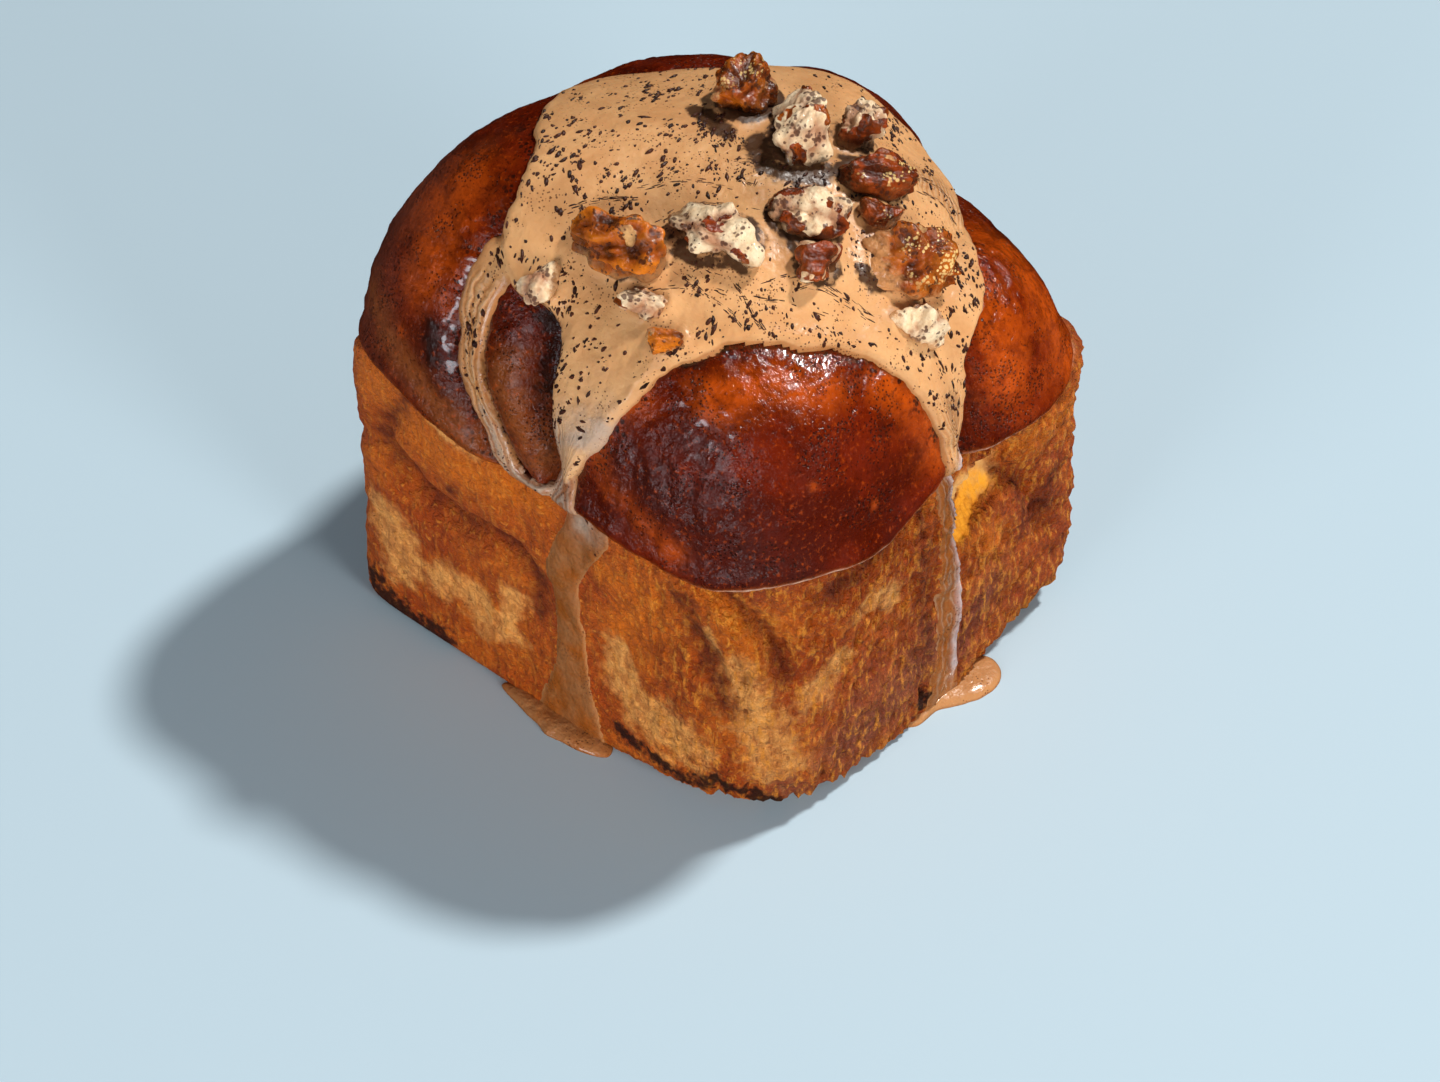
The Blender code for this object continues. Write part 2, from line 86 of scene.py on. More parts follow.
# Creases and folds: a width, then azimuth, elevation and depth along each
CREASES = {
    "left of tongue": (3.6, [(-128, 52, 0), (-119, 38, 2.5), (-114, 24, 5), (-108, 15, 5.5), (-100, 6, 5),
        (-89, 2, 3)]),
    "right of tongue": (3.8, [(-106, 56, 0), (-98, 38, 3), (-94, 25, 5), (-88, 14, 6), (-87, 3, 3)]),
    "behind front lobe": (7.0, [(-104, 46, 2), (-85, 49, 3), (-60, 50, 3), (-38, 49, 3), (-15, 46, 3)]),
    "right of front lobe": (4.6, [(-12, 56, 0), (3, 38, 5), (5, 28, 7), (4, 20, 7), (1, 12, 5),
        (-1, 5, 2)]),
    "above right lobe": (5.0, [(66, 34, 0), (47, 37, 4), (34, 42, 5), (17, 45, 4), (4, 42, 3)]),
    "back ridge": (4.0, [(176, 34, 0), (168, 42, 3), (160, 52, 3), (143, 55, 3), (128, 53, 0)]),
    "back fold": (6.0, [(128, 56, 0), (118, 36, 4), (112, 18, 5), (110, 4, 3)]),
    "right fold": (6.0, [(66, 44, 0), (70, 28, 4), (74, 14, 5), (73, 4, 3)]),
    "left fold": (6.0, [(-176, 46, 0), (-179, 30, 3), (178, 14, 5), (179, 2, 3)]),
    "left strand": (3.0, [(-126, 3, 0), (-133, -10, 2.5), (-130, -18, 3.6), (-124, -23, 3.6),
        (-113, -24, 3.4), (-104, -25, 3), (-98, -30, 1.5), (-95, -38, 0)]),
    "front strand": (2.6, [(-70, 4, 0), (-61, 0, 2), (-54, -3, 3.2), (-47, -8, 3.2), (-42, -15, 2.6),
        (-39, -23, 1.5), (-37, -31, 0)]),
    "side strand": (4.0, [(-62, -7, 0), (-56, -15, 1.6), (-53, -23, 1.8), (-50, -33, 0)]),
    "right strand": (3.0, [(22, -9, 2), (29, -20, 3), (34, -33, 2), (34, -42, 0)]),
    "back strand": (4.0, [(165, -4, 0), (140, -12, 3), (118, -20, 2), (100, -24, 0)]),
    "far strand": (4.0, [(92, -3, 0), (78, -12, 3), (60, -18, 3), (48, -30, 0)]),
}
# The torn window in the wall: azimuth, elevation, half width and half height in degrees, depth
WINDOW = (15.5, -12.0, 9.0, 7.5, 6.0)
PATH_STEPS, PATH_SOFTNESS = 8, 900.0

# The icing's edge round the crown, its thickness, and its runs: points with their half width
ICING_EDGE = [
    (-180, 51), (-160, 52), (-141, 53), (-127, 49), (-121, 43), (-116, 40), (-110, 39), (-104, 41),
    (-98, 40), (-95, 36), (-93, 28), (-90, 19.5), (-87, 12), (-85, 9), (-83, 12), (-80, 19), (-76, 25.5),
    (-72, 32), (-68, 39), (-63, 42.5), (-52, 46), (-38, 45.5), (-24, 43), (-17, 39), (-11, 34), (-8, 29),
    (-5, 21), (-2, 14), (0, 13), (3, 15), (6, 21), (9, 27), (14, 30), (22, 32), (31, 36), (40, 37),
    (54, 38), (66, 42), (84, 49), (99, 52), (113, 56), (136, 60), (150, 59), (160, 57), (170, 53),
]
ICING_THICKNESS = 1.7
ICING_FILLS = 0.6
EDGE_SOFTNESS, EDGE_SLOPE = 1.1, 1.2
# The bead along the edge: its share of the height, how far inside it lies, and its width
BEAD = (0.12, 1.8, 1.1)
RUN_BLEND, NUT_COLLAR, COVERED = 0.35, 1.1, -0.9
RUNS = {
    "left": (0.55, [(-118, 41, 4.0), (-116.5, 32.5, 3.2), (-114, 27.5, 2.8), (-112.5, 22.5, 2.5),
        (-110, 18.5, 2.3), (-107, 14.5, 2.2), (-103.5, 10, 2.0), (-100, 6.5, 1.8), (-95.5, 4, 1.6),
        (-89, 6, 1.0)]),
    "film": (0.4, [(-85, 12, 2.0), (-84.5, 4, 4.0), (-83, -4, 7.0), (-85, -11, 5.6), (-88, -17, 5.2),
        (-90, -24, 4.8), (-88.5, -31, 3.8), (-87.5, -37, 3.6), (-87, -43, 4.3), (-87, -52, 7.0)]),
    "right": (0.7, [(2, 27, 5.6), (0.5, 21, 4.2), (-1, 15, 3.2), (-2.5, 9, 2.4), (-1, 2, 2.4), (0, -5, 2.7),
        (1.5, -16, 2.9), (3, -26, 3.1), (3.5, -35, 3.0), (4, -43, 3.0), (4, -51, 4.0)]),
}
# The raised glossy string down the right edge of the narrow run: points with its height
STRING = (0.55, [(1.5, 12, 0.5), (-1.5, 8, 0.7), (1.5, 1, 0.8), (2.5, -6, 0.8), (4.2, -17, 0.8),
                 (6.0, -27, 1.1), (6.3, -35, 1.4), (6.2, -42, 1.0), (6.5, -47, 0.3)])
STRING_WIDTH, STRING_LIFT = 0.8, 2.2
PUDDLE_HEIGHT, PUDDLE_FLATNESS, PUDDLE_STEEPNESS = 1.8, 3.2, 0.6
# How much each puddle is a thin brown film
PUDDLE_THIN = {"left": 0.8, "right": 0.45}
PUDDLES = {
    "left": [(-15.5, -49.0), (-8.5, -51.2), (0.3, -52.9), (8.3, -52.0), (12.6, -49.5), (8.0, -45.5),
        (-10.0, -45.5)],
    "right": [(46.5, -6.5), (51.5, -5.0), (52.2, 1.6), (55.0, 6.6), (57.0, 12.4), (54.8, 17.6),
        (50.5, 18.9), (47.0, 15.0), (46.0, 4.0)],
}

# Pecan pieces: azimuth, elevation, length, width, height, turn, seed, then how pale, how
# orange and how light the syrup under them is
# The last value, how light the syrup is, also lightens the painted shade under each piece and round its foot
PECANS = {
    "pecan_back": (122, 76.5, 15.6, 12.0, 12.5, 75, 1, 0.22, 0.5, 0.0),
    "pecan_white_back": (53, 78.5, 15.6, 11.8, 14.2, 160, 2, 0.75, 0.3, 0.0),
    "pecan_back_right": (60, 65.5, 9.6, 10.3, 10.5, 65, 3, 0.62, 0.1, 0.4),
    "pecan_brown_right": (35, 63, 15.6, 9.6, 9.5, 110, 4, 0.10, 0.1, 0.0),
    "pecan_glazed": (17, 59.5, 8.2, 6.6, 6.6, 150, 5, 0.3, 0.1, 1.0),
    "pecan_middle": (-15, 67.5, 15.6, 10.5, 10.0, 145, 6, 0.55, 0.1, 0.2),
    "pecan_small": (-21, 58.5, 9.5, 8.0, 8.0, 160, 7, 0.5, 0.1, 0.2),
    "pecan_white_front": (-59, 66.5, 18.5, 11.9, 11.0, 0, 8, 0.8, 0.1, 0.3),
    "pecan_orange": (-93, 58, 20.0, 11.9, 11.0, 15, 9, 0.02, 1.0, 0.5),
    "pecan_chip_left": (-105, 43.5, 9.1, 7.5, 6.1, 80, 10, 1.0, 0.0, 0.8),
    "pecan_pale": (-77, 51, 10.6, 7.0, 6.8, 15, 11, 0.6, 0.2, 1.0),
    "pecan_large_right": (9, 49.5, 18.6, 14.2, 12.5, 145, 12, 0.12, 0.45, 1.0),
    "pecan_white_right": (-1, 40, 12.6, 8.6, 8.4, 145, 13, 1.0, 0.0, 1.0),
    "pecan_crumb": (-68, 45.5, 8.0, 6.5, 5.4, 15, 14, 0.1, 1.0, 1.0),
}
PECAN_BREAKS, PECAN_SQUARENESS = 7, 2.7
PECAN_SINK = 0.3
# How far from the middle the breaks cut, how softly they meet, and the edge of a broken face
BREAK_DEPTHS, BREAK_BLEND, BREAK_EDGE = (0.55, 0.85), 0.12, (-0.02, 0.06)
PECAN_AROUND, PECAN_ROWS = 110, 54

# The grids: stretches of azimuth with their columns, and shares of the way up for the rows
LOAF_COLUMNS = [(-134, 42, 310), (42, 226, 130)]
LOAF_ROWS = np.concatenate([np.linspace(-0.6, 0, 5, endpoint=False), np.linspace(0, 1, 98, endpoint=False),
                            np.linspace(1, 1.65, 108, endpoint=False), np.linspace(1.65, 1.96, 12)])
ICING_COLUMNS = [(-134, 42, 290), (42, 226, 110)]
ICING_ROWS = np.concatenate([np.linspace(0, 1, 80, endpoint=False),
                             np.linspace(1, 1.65, 84, endpoint=False), np.linspace(1.65, 1.97, 22)])
ICING_BURIED = 1.5
SPECK_TRIES, SPECK_SIDES = 42000, 8
# Lengths of the specks: the middle one, how widely they spread, the least and the most. Their widths as
# shares of the length, the least and the most, then the least and the most in millimetres
SPECK_LENGTH, SPECK_WIDTH = (0.7, 0.6, 0.2, 2.6), (0.35, 0.85, 0.15, 0.9)
DRAWN_LENGTH, DRAWN_WIDTH, DRAWN_SCATTER = (0.9, 2.4), (0.13, 0.32), 0.006
SPECK_TURN, DRAWN_TURN, SPECK_RAGGED, SPECK_THICK = 0.35, 0.2, (0.65, 1.25), 0.35

# How the icing ran: across the crown, and the places it drained to with their pull. Where it has many
# specks, and where few: azimuth, elevation, spread and strength
FLOW_AZIMUTH = -60.0
DRAINS = [(-114, 22, 1.5), (-90, 18, 1.5), (3, 15, 2.0)]
SPECKLED = [
    (-140, 62, 12, 1.0), (-113, 28, 8, 1.0), (-92, 30, 10, 0.9), (-40, 46, 12, 0.6), (0, 28, 12, 1.0),
    (-64, 45, 3.5, 1.0), (-50, 48, 4, 1.0), (-38, 48, 4, 1.0), (-26, 45, 4, 1.0), (-14, 38, 4, 1.0),
    (-6, 30, 5, 1.0), (-110, 64, 12, 0.7), (20, 40, 12, 0.8), (150, 70, 12, 0.8),
]
CLEAN = [(-85, 70, 10, 0.8), (-60, 55, 8, 0.7), (-128, 50, 6, 0.5), (150, 60, 10, 0.4)]
PUDDLE_STEPS, PUDDLE_ROWS = 18, 14

# Strokes of colour on the crust: for each colour a width in millimetres, then a path of azimuth and elevation
STROKES = {
    "pale": [(2.8, [(-122, 1), (-115, -2)]), (3.5, [(-134, -27), (-130, -36)]), (3.6, [(-122, -37),
        (-117, -38), (-113, -41)]), (1.2, [(-54, -14), (-52, -19)]), (5.0, [(-74, -33), (-71, -39),
        (-64, -40), (-59, -39)]), (5.0, [(-48, -21), (-45, -29), (-42, -37)]), (4.0, [(-34, -26),
        (-30, -24)]), (3.5, [(-104, -36), (-106, -42)]), (4.0, [(-22, -14), (-14, -20)]), (2.5, [(150, -26),
        (140, -34)]), (3.0, [(84, -30), (76, -40)]), (2.5, [(-164, -22), (-156, -32)])],
    # The first orange stroke, on the left lobe, is partly a painted highlight
    "orange": [(6.0, [(-141, 42), (-133, 36), (-127, 28)]), (7.0, [(-133, -1), (-127, -5), (-119, -8),
        (-109, -8), (-97, -7)]), (2.5, [(-74, 16), (-65, 11), (-59, 8)]), (5.0, [(-79, -14), (-67, -15),
        (-74, -27)]), (4.0, [(-52, -6), (-47, -11), (-44, -15)]), (3.0, [(8, -22), (20, -27)]),
        (6.0, [(27, -8), (34, -9), (40, -7)]), (4.0, [(-56, 37), (-42, 39), (-30, 37)]), (5.0, [(-14, 33),
        (-7, 26), (-5, 17)]), (3.0, [(-71, 34), (-79, 25), (-75, 16)]), (8.0, [(42, 29), (36, 20),
        (34, 9)]), (7.0, [(24, 31), (18, 23), (17, 17)]), (7.0, [(-148, 30), (-138, 34)]), (8.0, [(90, 30),
        (96, 16)]), (8.0, [(170, 30), (178, 14)]), (6.0, [(178, -10), (164, -14)]), (6.0, [(96, -10),
        (80, -14)])],
    # brown: dark lines along the strand creases and under the front lobe's overhang, painted shade
    "brown": [(1.9, [(-128, 0), (-134, -12), (-130, -18), (-124, -23), (-113, -24), (-105, -25),
        (-99, -28)]), (2.0, [(-99, -27), (-97, -36)]), (1.2, [(-120, -17), (-118, -15)]), (1.8, [(-60, 0),
        (-54, -3), (-47, -8), (-43, -14), (-40, -22)]), (2.6, [(-60, -9), (-56, -15), (-53, -22),
        (-51, -28)]), (2.2, [(-8, 2), (-6, -17), (-3, -38)]), (3.0, [(-32, -4), (-23, -4), (-13, -1)]),
        (1.6, [(23, -14), (27, -20), (28, -28)]), (2.0, [(36, -20), (33, -30)]), (2.4, [(165, -4),
        (140, -12), (118, -20)]), (2.4, [(92, -3), (78, -12), (60, -18)])],
    # plum: low on the walls a plum tint; on the crown partly a painted sheen, the fill's soft reflection on
    # the front lobe, and partly painted shade in the creases beside the tongue
    "plum": [(3.0, [(-39, -42), (-35, -45)]), (7.0, [(-26, -41), (-14, -42), (-3, -41)]), (5.0, [(17, -37),
        (9, -43)]), (2.0, [(-95, 23), (-91, 14)]), (9.0, [(-70, 20), (-59, 16), (-50, 11), (-44, 7)]),
        (5.0, [(70, 54), (63, 47), (52, 41)]), (4.0, [(-120, 23), (-117, 15), (-112, 12)]),
        (9.0, [(130, 24), (124, 8)]), (9.0, [(-164, 30), (-158, 12)]), (7.0, [(62, -38), (48, -42)])],
    "scorched": [(2.4, [(-137, -39), (-134, -42), (-128, -45), (-123, -46)]), (1.4, [(-74, -47), (-65, -46),
        (-57, -45), (-50, -42), (-45, -43), (-37, -47)]), (1.6, [(-3, -48), (3, -49), (8, -50)]),
        (1.8, [(-121, 23), (-119, 18)]), (3.2, [(-101, 39), (-97, 35), (-95, 27)]), (1.0, [(-66, 41),
        (-58, 43)]), (1.6, [(120, -50), (150, -46), (175, -48)]), (4.0, [(112, 32), (106, 20)])],
    # rim: where the pale line along the lip shows; the line is partly a pale film edge, partly painted glints
    "rim": [(5.0, [(-50, 3), (-40, 4), (-30, 3), (-20, 4), (-10, 7), (-4, 8)]), (5.0, [(9, 6), (23, 4),
        (38, 3)])],
    "torn": [(5.5, [(7, -5), (13, -8), (18, -11)]), (3.5, [(8, -11), (14, -13), (19, -15)])],
    "yolk": [(2.6, [(7, -19), (12, -18), (17, -16), (20, -16)])],
    "amber": [(5.0, [(-104, 26), (-100, 20), (-96, 15), (-92, 11)]), (3.5, [(-136, 17), (-128, 15),
        (-122, 13), (-115, 10), (-107, 6)])],
    # ridge: a painted highlight, a bright line along the crest of the front strand
    "ridge": [(1.0, [(-60, 7), (-53, 6), (-48, -3), (-42, -9), (-38, -16)])],
    "wet": [(9.0, [(-140, 48), (-132, 38), (-124, 32), (-119, 26)]), (9.0, [(-54, 40), (-40, 42), (-28, 40),
        (-16, 33)]), (8.0, [(24, 30), (34, 32), (46, 33)])],
    "dusty": [(11.0, [(-148, 33), (-141, 24), (-136, 12)])],
    "blister": [(0.7, [(-24, 14), (-24, 13.5)]), (0.8, [(-126, 18), (-125.5, 17.5)]), (0.7, [(-36, 22),
        (-36, 21.5)]), (0.8, [(28, 26), (28, 25.5)])],
}
# Soft round patches: azimuth, elevation, spread in degrees, strength
WRINKLED = [(-62, 15, 14, 1.0)]
SCALLOPED = [(38, -20, 16, 1.0), (30, -35, 12, 1.0), (-140, -20, 12, 1.2)]
SMOOTHER_CRUMB = [(-114, -8, 14, 0.75), (14, -13, 8, 0.9), (-64, -4, 12, 0.4)]

# Strokes on the icing: dark syrup round nuts, partly painted shadow, streaks along the runs, the milky end of
# the left sheet
ICING_STROKES = {
    "syrup": [(2.6, [(171, 78), (173, 82), (164, 86)]), (3.6, [(47, 86), (-4, 83), (5, 78), (24, 73)]),
        (3.0, [(40, 68), (32, 66), (24, 63)]), (2.2, [(-6, 54), (-6, 52), (-1, 49)]), (2.2, [(-74, 62),
        (-65, 61), (-49, 61)]), (1.6, [(-28, 64), (-26, 60)]), (1.4, [(-84, 56), (-90, 53), (-97, 54)])],
    "streaked": [(4.0, [(-117, 34), (-112, 23), (-107, 15), (-100, 6), (-90, 6)]), (4.0, [(-88, 20),
        (-86, 12), (-85, 4)]), (4.0, [(0, 22), (-1, 8), (2, -10), (4, -30), (4, -46)]), (4.0, [(49, 52),
        (49, 46), (44, 41)])],
    "milky": [(5.5, [(-88, 19), (-83, 22), (-78, 26)]), (4.5, [(-87, 18), (-87, 12), (-85, 4), (-84, -4)]),
        (1.8, [(-107, 15), (-100, 6), (-90, 6)])],
}
# Thin dark lines that the spoon drew in the icing
SWIRLS = [
    [(-41, 57), (-31, 58), (-22, 55), (-15, 50), (-11, 46)], [(-62, 60), (-51, 57), (-46, 52), (-43, 49)],
    [(-60, 85), (-20, 84), (-37, 79), (-47, 81)], [(-109, 68), (-102, 73), (-88, 77), (-58, 78)], [(49, 53),
    (50, 46), (44, 41)], [(42, 52), (43, 46), (39, 41)], [(-80, 52), (-66, 56), (-49, 55), (-34, 53),
    (-21, 48)], [(-90, 65), (-80, 71), (-63, 74), (-36, 73)], [(-36, 55), (-26, 55), (-18, 51), (-12, 45)],
    [(-72, 58), (-60, 55), (-52, 52), (-48, 49)], [(-116, 55), (-112, 62), (-104, 67)],
]
SWIRL_SPECKS = 26

# The camera in degrees and millimetres. The lights: azimuth and elevation, then the size in metres and the
# power in watts, and for the glint its distance before them
CAMERA_AZIMUTH, CAMERA_ELEVATION, CAMERA_ROLL = 39.37, 45.705, 1.506
CAMERA_DISTANCE, CAMERA_ASIDE, CAMERA_ABOVE, CAMERA_LENS = 1128.0, -1.39, 8.72, 143.45
KEY_DISTANCE, FILL_DISTANCE = 3000.0, 1500.0
KEY = (71.6, 57.7, KEY_DISTANCE, 0.30, 88.0)
FILLS = [("fill", -85.0, 10.0, 0.7, 14.5), ("side", -10.0, 12.0, 0.6, 18.0)]
GLINT = (-85.0, 14.0, FILL_DISTANCE, 0.5, 5.0)
KEY_COLOUR, FILL_COLOUR, GLINT_COLOUR = (1.0, 0.97, 0.92), (1.0, 0.97, 0.93), (0.85, 0.92, 1.0)
AIR_STRENGTH, AIR_COLOUR = 0.12, (0.72, 0.86, 1.0, 1.0)
FLOOR_HALF = 3000.0

# Colours, as linear red, green and blue
GOLDEN, AMBER = (0.62, 0.125, 0.004), (0.42, 0.060, 0.0015)
PALE_CRUMB, THREAD_AND_HIGHLIGHT = (0.92, 0.40, 0.10), (0.88, 0.31, 0.030)
BROWN_CRUMB_AND_SHADE, PIT_SHADE = (0.26, 0.036, 0.002), (0.12, 0.015, 0.001)
ORANGE_CRUST, CREASE_SHADE_BROWN = (0.68, 0.150, 0.003), (0.14, 0.018, 0.002)
PLUM_WALL, SCORCH_AND_SHADE = (0.22, 0.060, 0.034), (0.012, 0.004, 0.003)
WINDOW_PALE = (0.72, 0.38, 0.12)
WINDOW_YELLOW, RIM_PALE_AND_GLINT = (1.0, 0.40, 0.025), (0.82, 0.56, 0.42)
CROWN_RED, CROWN_DARK = (0.125, 0.009, 0.0008), (0.042, 0.0032, 0.0006)
CROWN_ORANGE, CROWN_PLUM_SHEEN_AND_SHADE = (0.44, 0.062, 0.003), (0.050, 0.008, 0.005)
AMBER_SKIN = (0.2, 0.05, 0.01)
CROWN_DUSTY, SEAM_ORANGE = (0.13, 0.030, 0.014), (0.46, 0.090, 0.006)
ICING_TAN, ICING_LIGHT, ICING_THIN = (0.58, 0.285, 0.115), (0.66, 0.355, 0.155), (0.40, 0.155, 0.05)
FILM_GREY, FILM_BROWN = (0.30, 0.115, 0.038), (0.30, 0.078, 0.009)
MILKY, STRING_LILAC = (0.44, 0.33, 0.26), (0.62, 0.52, 0.54)
SPECK_BROWN, SPECK_BLACK = (0.070, 0.018, 0.008), (0.016, 0.006, 0.005)
NUT_SKIN, NUT_SKIN_DARK, NUT_ORANGE = (0.26, 0.036, 0.005), (0.07, 0.010, 0.003), (0.72, 0.19, 0.008)
NUT_CREAM, NUT_TAN, NUT_TOAST_AND_SHADE = (1.0, 0.88, 0.64), (0.62, 0.34, 0.13), (0.30, 0.085, 0.024)
DARK_SYRUP_AND_SHADE, SYRUP_TAN, SUGAR = (0.022, 0.006, 0.003), (0.54, 0.25, 0.095), (0.95, 0.66, 0.25)
FLOOR_PALE, FLOOR_BLUE = (0.47, 0.60, 0.69), (0.45, 0.59, 0.69)


def direction(azimuth, elevation):
    """Unit vectors that point at an azimuth and an elevation, both in degrees."""
    a, e = np.radians(azimuth), np.radians(elevation)
    return np.stack([np.cos(e) * np.cos(a), np.cos(e) * np.sin(a), np.sin(e) + 0 * a], axis=-1)


def azimuth_of(u):
    """The azimuth of each direction in degrees, from +X towards +Y."""
    return np.degrees(np.arctan2(u[..., 1], u[..., 0]))


def elevation_of(u):
    """The elevation of each unit direction in degrees: the arc sine of its height."""
    return np.degrees(np.arcsin(np.clip(u[..., 2], -1, 1)))


def from_heart(u, distance):
    """Points at a distance from the heart along each direction."""
    return u * distance[..., None] + np.array([0, 0, HEART_HEIGHT])


def unit(v):
    """Each vector over its own length."""
    return v / np.maximum(np.linalg.norm(v, axis=-1, keepdims=True), 1e-12)


def smooth_through(points, steps, closed=False):
    """A smooth curve through points: a Catmull-Rom spline with some steps in each stretch between them."""
    points = np.array(points, float)
    if closed:
        knots = np.vstack([points[-1:], points, points[:2]])
    else:
        knots = np.vstack([2 * points[0] - points[1], points, 2 * points[-1] - points[-2]])
    before, start, end, after = knots[:-3], knots[1:-2], knots[2:-1], knots[3:]
    t = np.linspace(0, 1, steps, endpoint=False)[:, None, None]
    bend = start + t * (end - before) / 2 + t ** 2 * (before - 2.5 * start + 2 * end - after / 2)
    bend = bend + t ** 3 * (3 * start - before - 3 * end + after) / 2
    curve = np.swapaxes(bend, 0, 1).reshape(-1, points.shape[1])
    return curve if closed else np.vstack([curve, points[-1:]])


def round_table(azimuth, table):
    """A height listed at some azimuths, carried all round by a smooth curve through them."""
    table = sorted(((a + 180) % 360 - 180, height) for a, height in table)
    around, heights = np.array(table, float).T
    steps = 6
    fine_heights = smooth_through(heights[:, None], steps, closed=True)[:, 0]
    gaps = np.append(around[1:], around[0] + 360) - around
    fine_around = (around[:, None] + gaps[:, None] * np.arange(steps) / steps).ravel()
    return np.interp(azimuth, fine_around, fine_heights, period=360)


def smooth_step(x, low, high):
    """From 0 to 1 as x goes from low to high: three times the share squared, less twice its cube."""
    t = np.clip((x - low) / (high - low), 0, 1)
    return t * t * (3 - 2 * t)


def smooth_min(a, b, blend):
    """The smaller of two lengths, rounded off where they differ by less than the blend."""
    h = np.clip(0.5 + 0.5 * (b - a) / blend, 0, 1)
    return b + (a - b) * h - blend * h * (1 - h)


def along_path(u, points):
    """How far each direction is from a smooth path, in millimetres on the crown, and the value there."""
    points = np.array(points, float)
    spine = smooth_through(np.column_stack([direction(points[:, 0], points[:, 1]), points[:, 2]]), PATH_STEPS)
    squared = np.maximum(1 + (spine[:, :3] ** 2).sum(axis=1) - 2 * u @ spine[:, :3].T, 1e-9)
    nearest = squared.min(axis=-1)
    weight = np.exp(-(squared - nearest[..., None]) * PATH_SOFTNESS)
    value = (weight @ spine[:, 3]) / weight.sum(axis=-1)
    return np.sqrt(nearest) * HEART_HEIGHT, value


def by_corner(u, sizes, elsewhere):
    """A value given for each corner of the loaf, which fades to another in the middle of its sides."""
    x, y = u[..., 0], u[..., 1]
    front = np.where(x > 0, sizes["front"], sizes["left"])
    back = np.where(x > 0, sizes["right"], sizes["back"])
    cornerness = np.sin(np.radians(2 * azimuth_of(u))) ** 2
    return elsewhere + (np.where(y < 0, front, back) - elsewhere) * cornerness


def wall_distance(u):
    """A rounded square tube, rounded again into the flat base."""
    x, y, z = np.moveaxis(u, -1, 0)
    half_x = np.where(x < 0, WALL_LEFT, WALL_RIGHT)
    half_y = np.where(y < 0, WALL_FRONT, WALL_BACK)
    square = by_corner(u, CORNER_SQUARENESS, WALL_SQUARENESS)
    reach = (np.abs(x / half_x) ** square + np.abs(y / half_y) ** square) ** (1 / square)
    tube = np.minimum(1 / np.maximum(reach, 1e-6), FAR)
    floor = np.where(z < -0.01, HEART_HEIGHT / np.maximum(-z, 0.01), FAR)
    return smooth_min(tube, floor, by_corner(u, FOOT_ROUNDING, EDGE_ROUNDING))


def crown_distance(u):
    """A squarish dome: its plan and its rise each follow a power curve."""
    x, y, z = np.moveaxis(u, -1, 0)
    half_x = np.where(x < 0, CROWN_LEFT, CROWN_RIGHT)
    half_y = np.where(y < 0, CROWN_FRONT, CROWN_BACK)
    plan = np.abs(x / half_x) ** CROWN_SQUARENESS + np.abs(y / half_y) ** CROWN_SQUARENESS
    rise = np.abs(z / CROWN_RISE) ** CROWN_ROUNDNESS
    return 1 / (plan ** (CROWN_ROUNDNESS / CROWN_SQUARENESS) + rise) ** (1 / CROWN_ROUNDNESS)


def swelling(u):
    """The sum of the swellings: each its height at its middle, falling off as a bell over its spread."""
    total = np.zeros(u.shape[:-1])
    for azimuth, elevation, height, spread in SWELLINGS:
        closeness = u @ direction(azimuth, elevation) - 1
        total += height * np.exp(closeness / (1 - np.cos(np.radians(spread))))
    return total


def creasing(u):
    """The depth of the creases: a sharp valley with soft shoulders on each side of every path."""
    total = np.zeros(u.shape[:-1])
    for width, points in CREASES.values():
        away, depth = along_path(u, points)
        valley = 0.6 * np.exp(-(away / width) ** 2) + 0.4 * np.exp(-away / width)
        total = np.maximum(total, depth * valley)
    return total


def torn_window(u):
    """A flat-bottomed pit in the wall where a layer of dough has pulled away."""
    azimuth, elevation, half_width, half_height, depth = WINDOW
    across = (azimuth_of(u) - azimuth) / half_width
    up = (elevation_of(u) - elevation) / half_height
    return depth * np.exp(-(across ** 4 + up ** 4))


def lip_elevation(azimuth):
    """The elevation at which the crown steps out from the wall, seen from the heart."""
    reach = crown_distance(direction(azimuth, 0 * azimuth))
    return np.degrees(np.arctan2(round_table(azimuth, LIP) - HEART_HEIGHT, reach))


def lattice(whole, seed):
    """A repeatable random value from 0 to 1 for each point of a whole-number lattice: its bits well mixed."""
    factors = np.array([73856093, 19349663, 83492791], np.int64)
    mixed = (whole.astype(np.int64) * factors).sum(axis=-1) + seed * 2654435761
    mixed = (mixed ^ (mixed >> 13)) * 1274126177 & 0x7FFFFFFF
    mixed = (mixed ^ (mixed >> 11)) * 668265263 & 0x7FFFFFFF
    return ((mixed ^ (mixed >> 15)) & 0xFFFF) / 65535.0


def noise(points, size, seed, octaves=3):
    """Soft random relief from -1 to 1: lattice values blended in a cube, in octaves of half the size each."""
    total, weight = 0.0, 0.0
    corners = np.array([[i, j, k] for i in (0, 1) for j in (0, 1) for k in (0, 1)])
    for octave in range(octaves):
        p = points * 2 ** octave / np.asarray(size, float) + 17.3 * octave
        base = np.floor(p)
        part = p - base
        part = part * part * (3 - 2 * part)
        value = 0.0
        for corner in corners:
            share = np.where(corner, part, 1 - part).prod(axis=-1)
            value = value + share * lattice(base + corner, seed + octave)
        total = total + (2 * value - 1) * 0.5 ** octave
        weight += 0.5 ** octave
    return total / weight


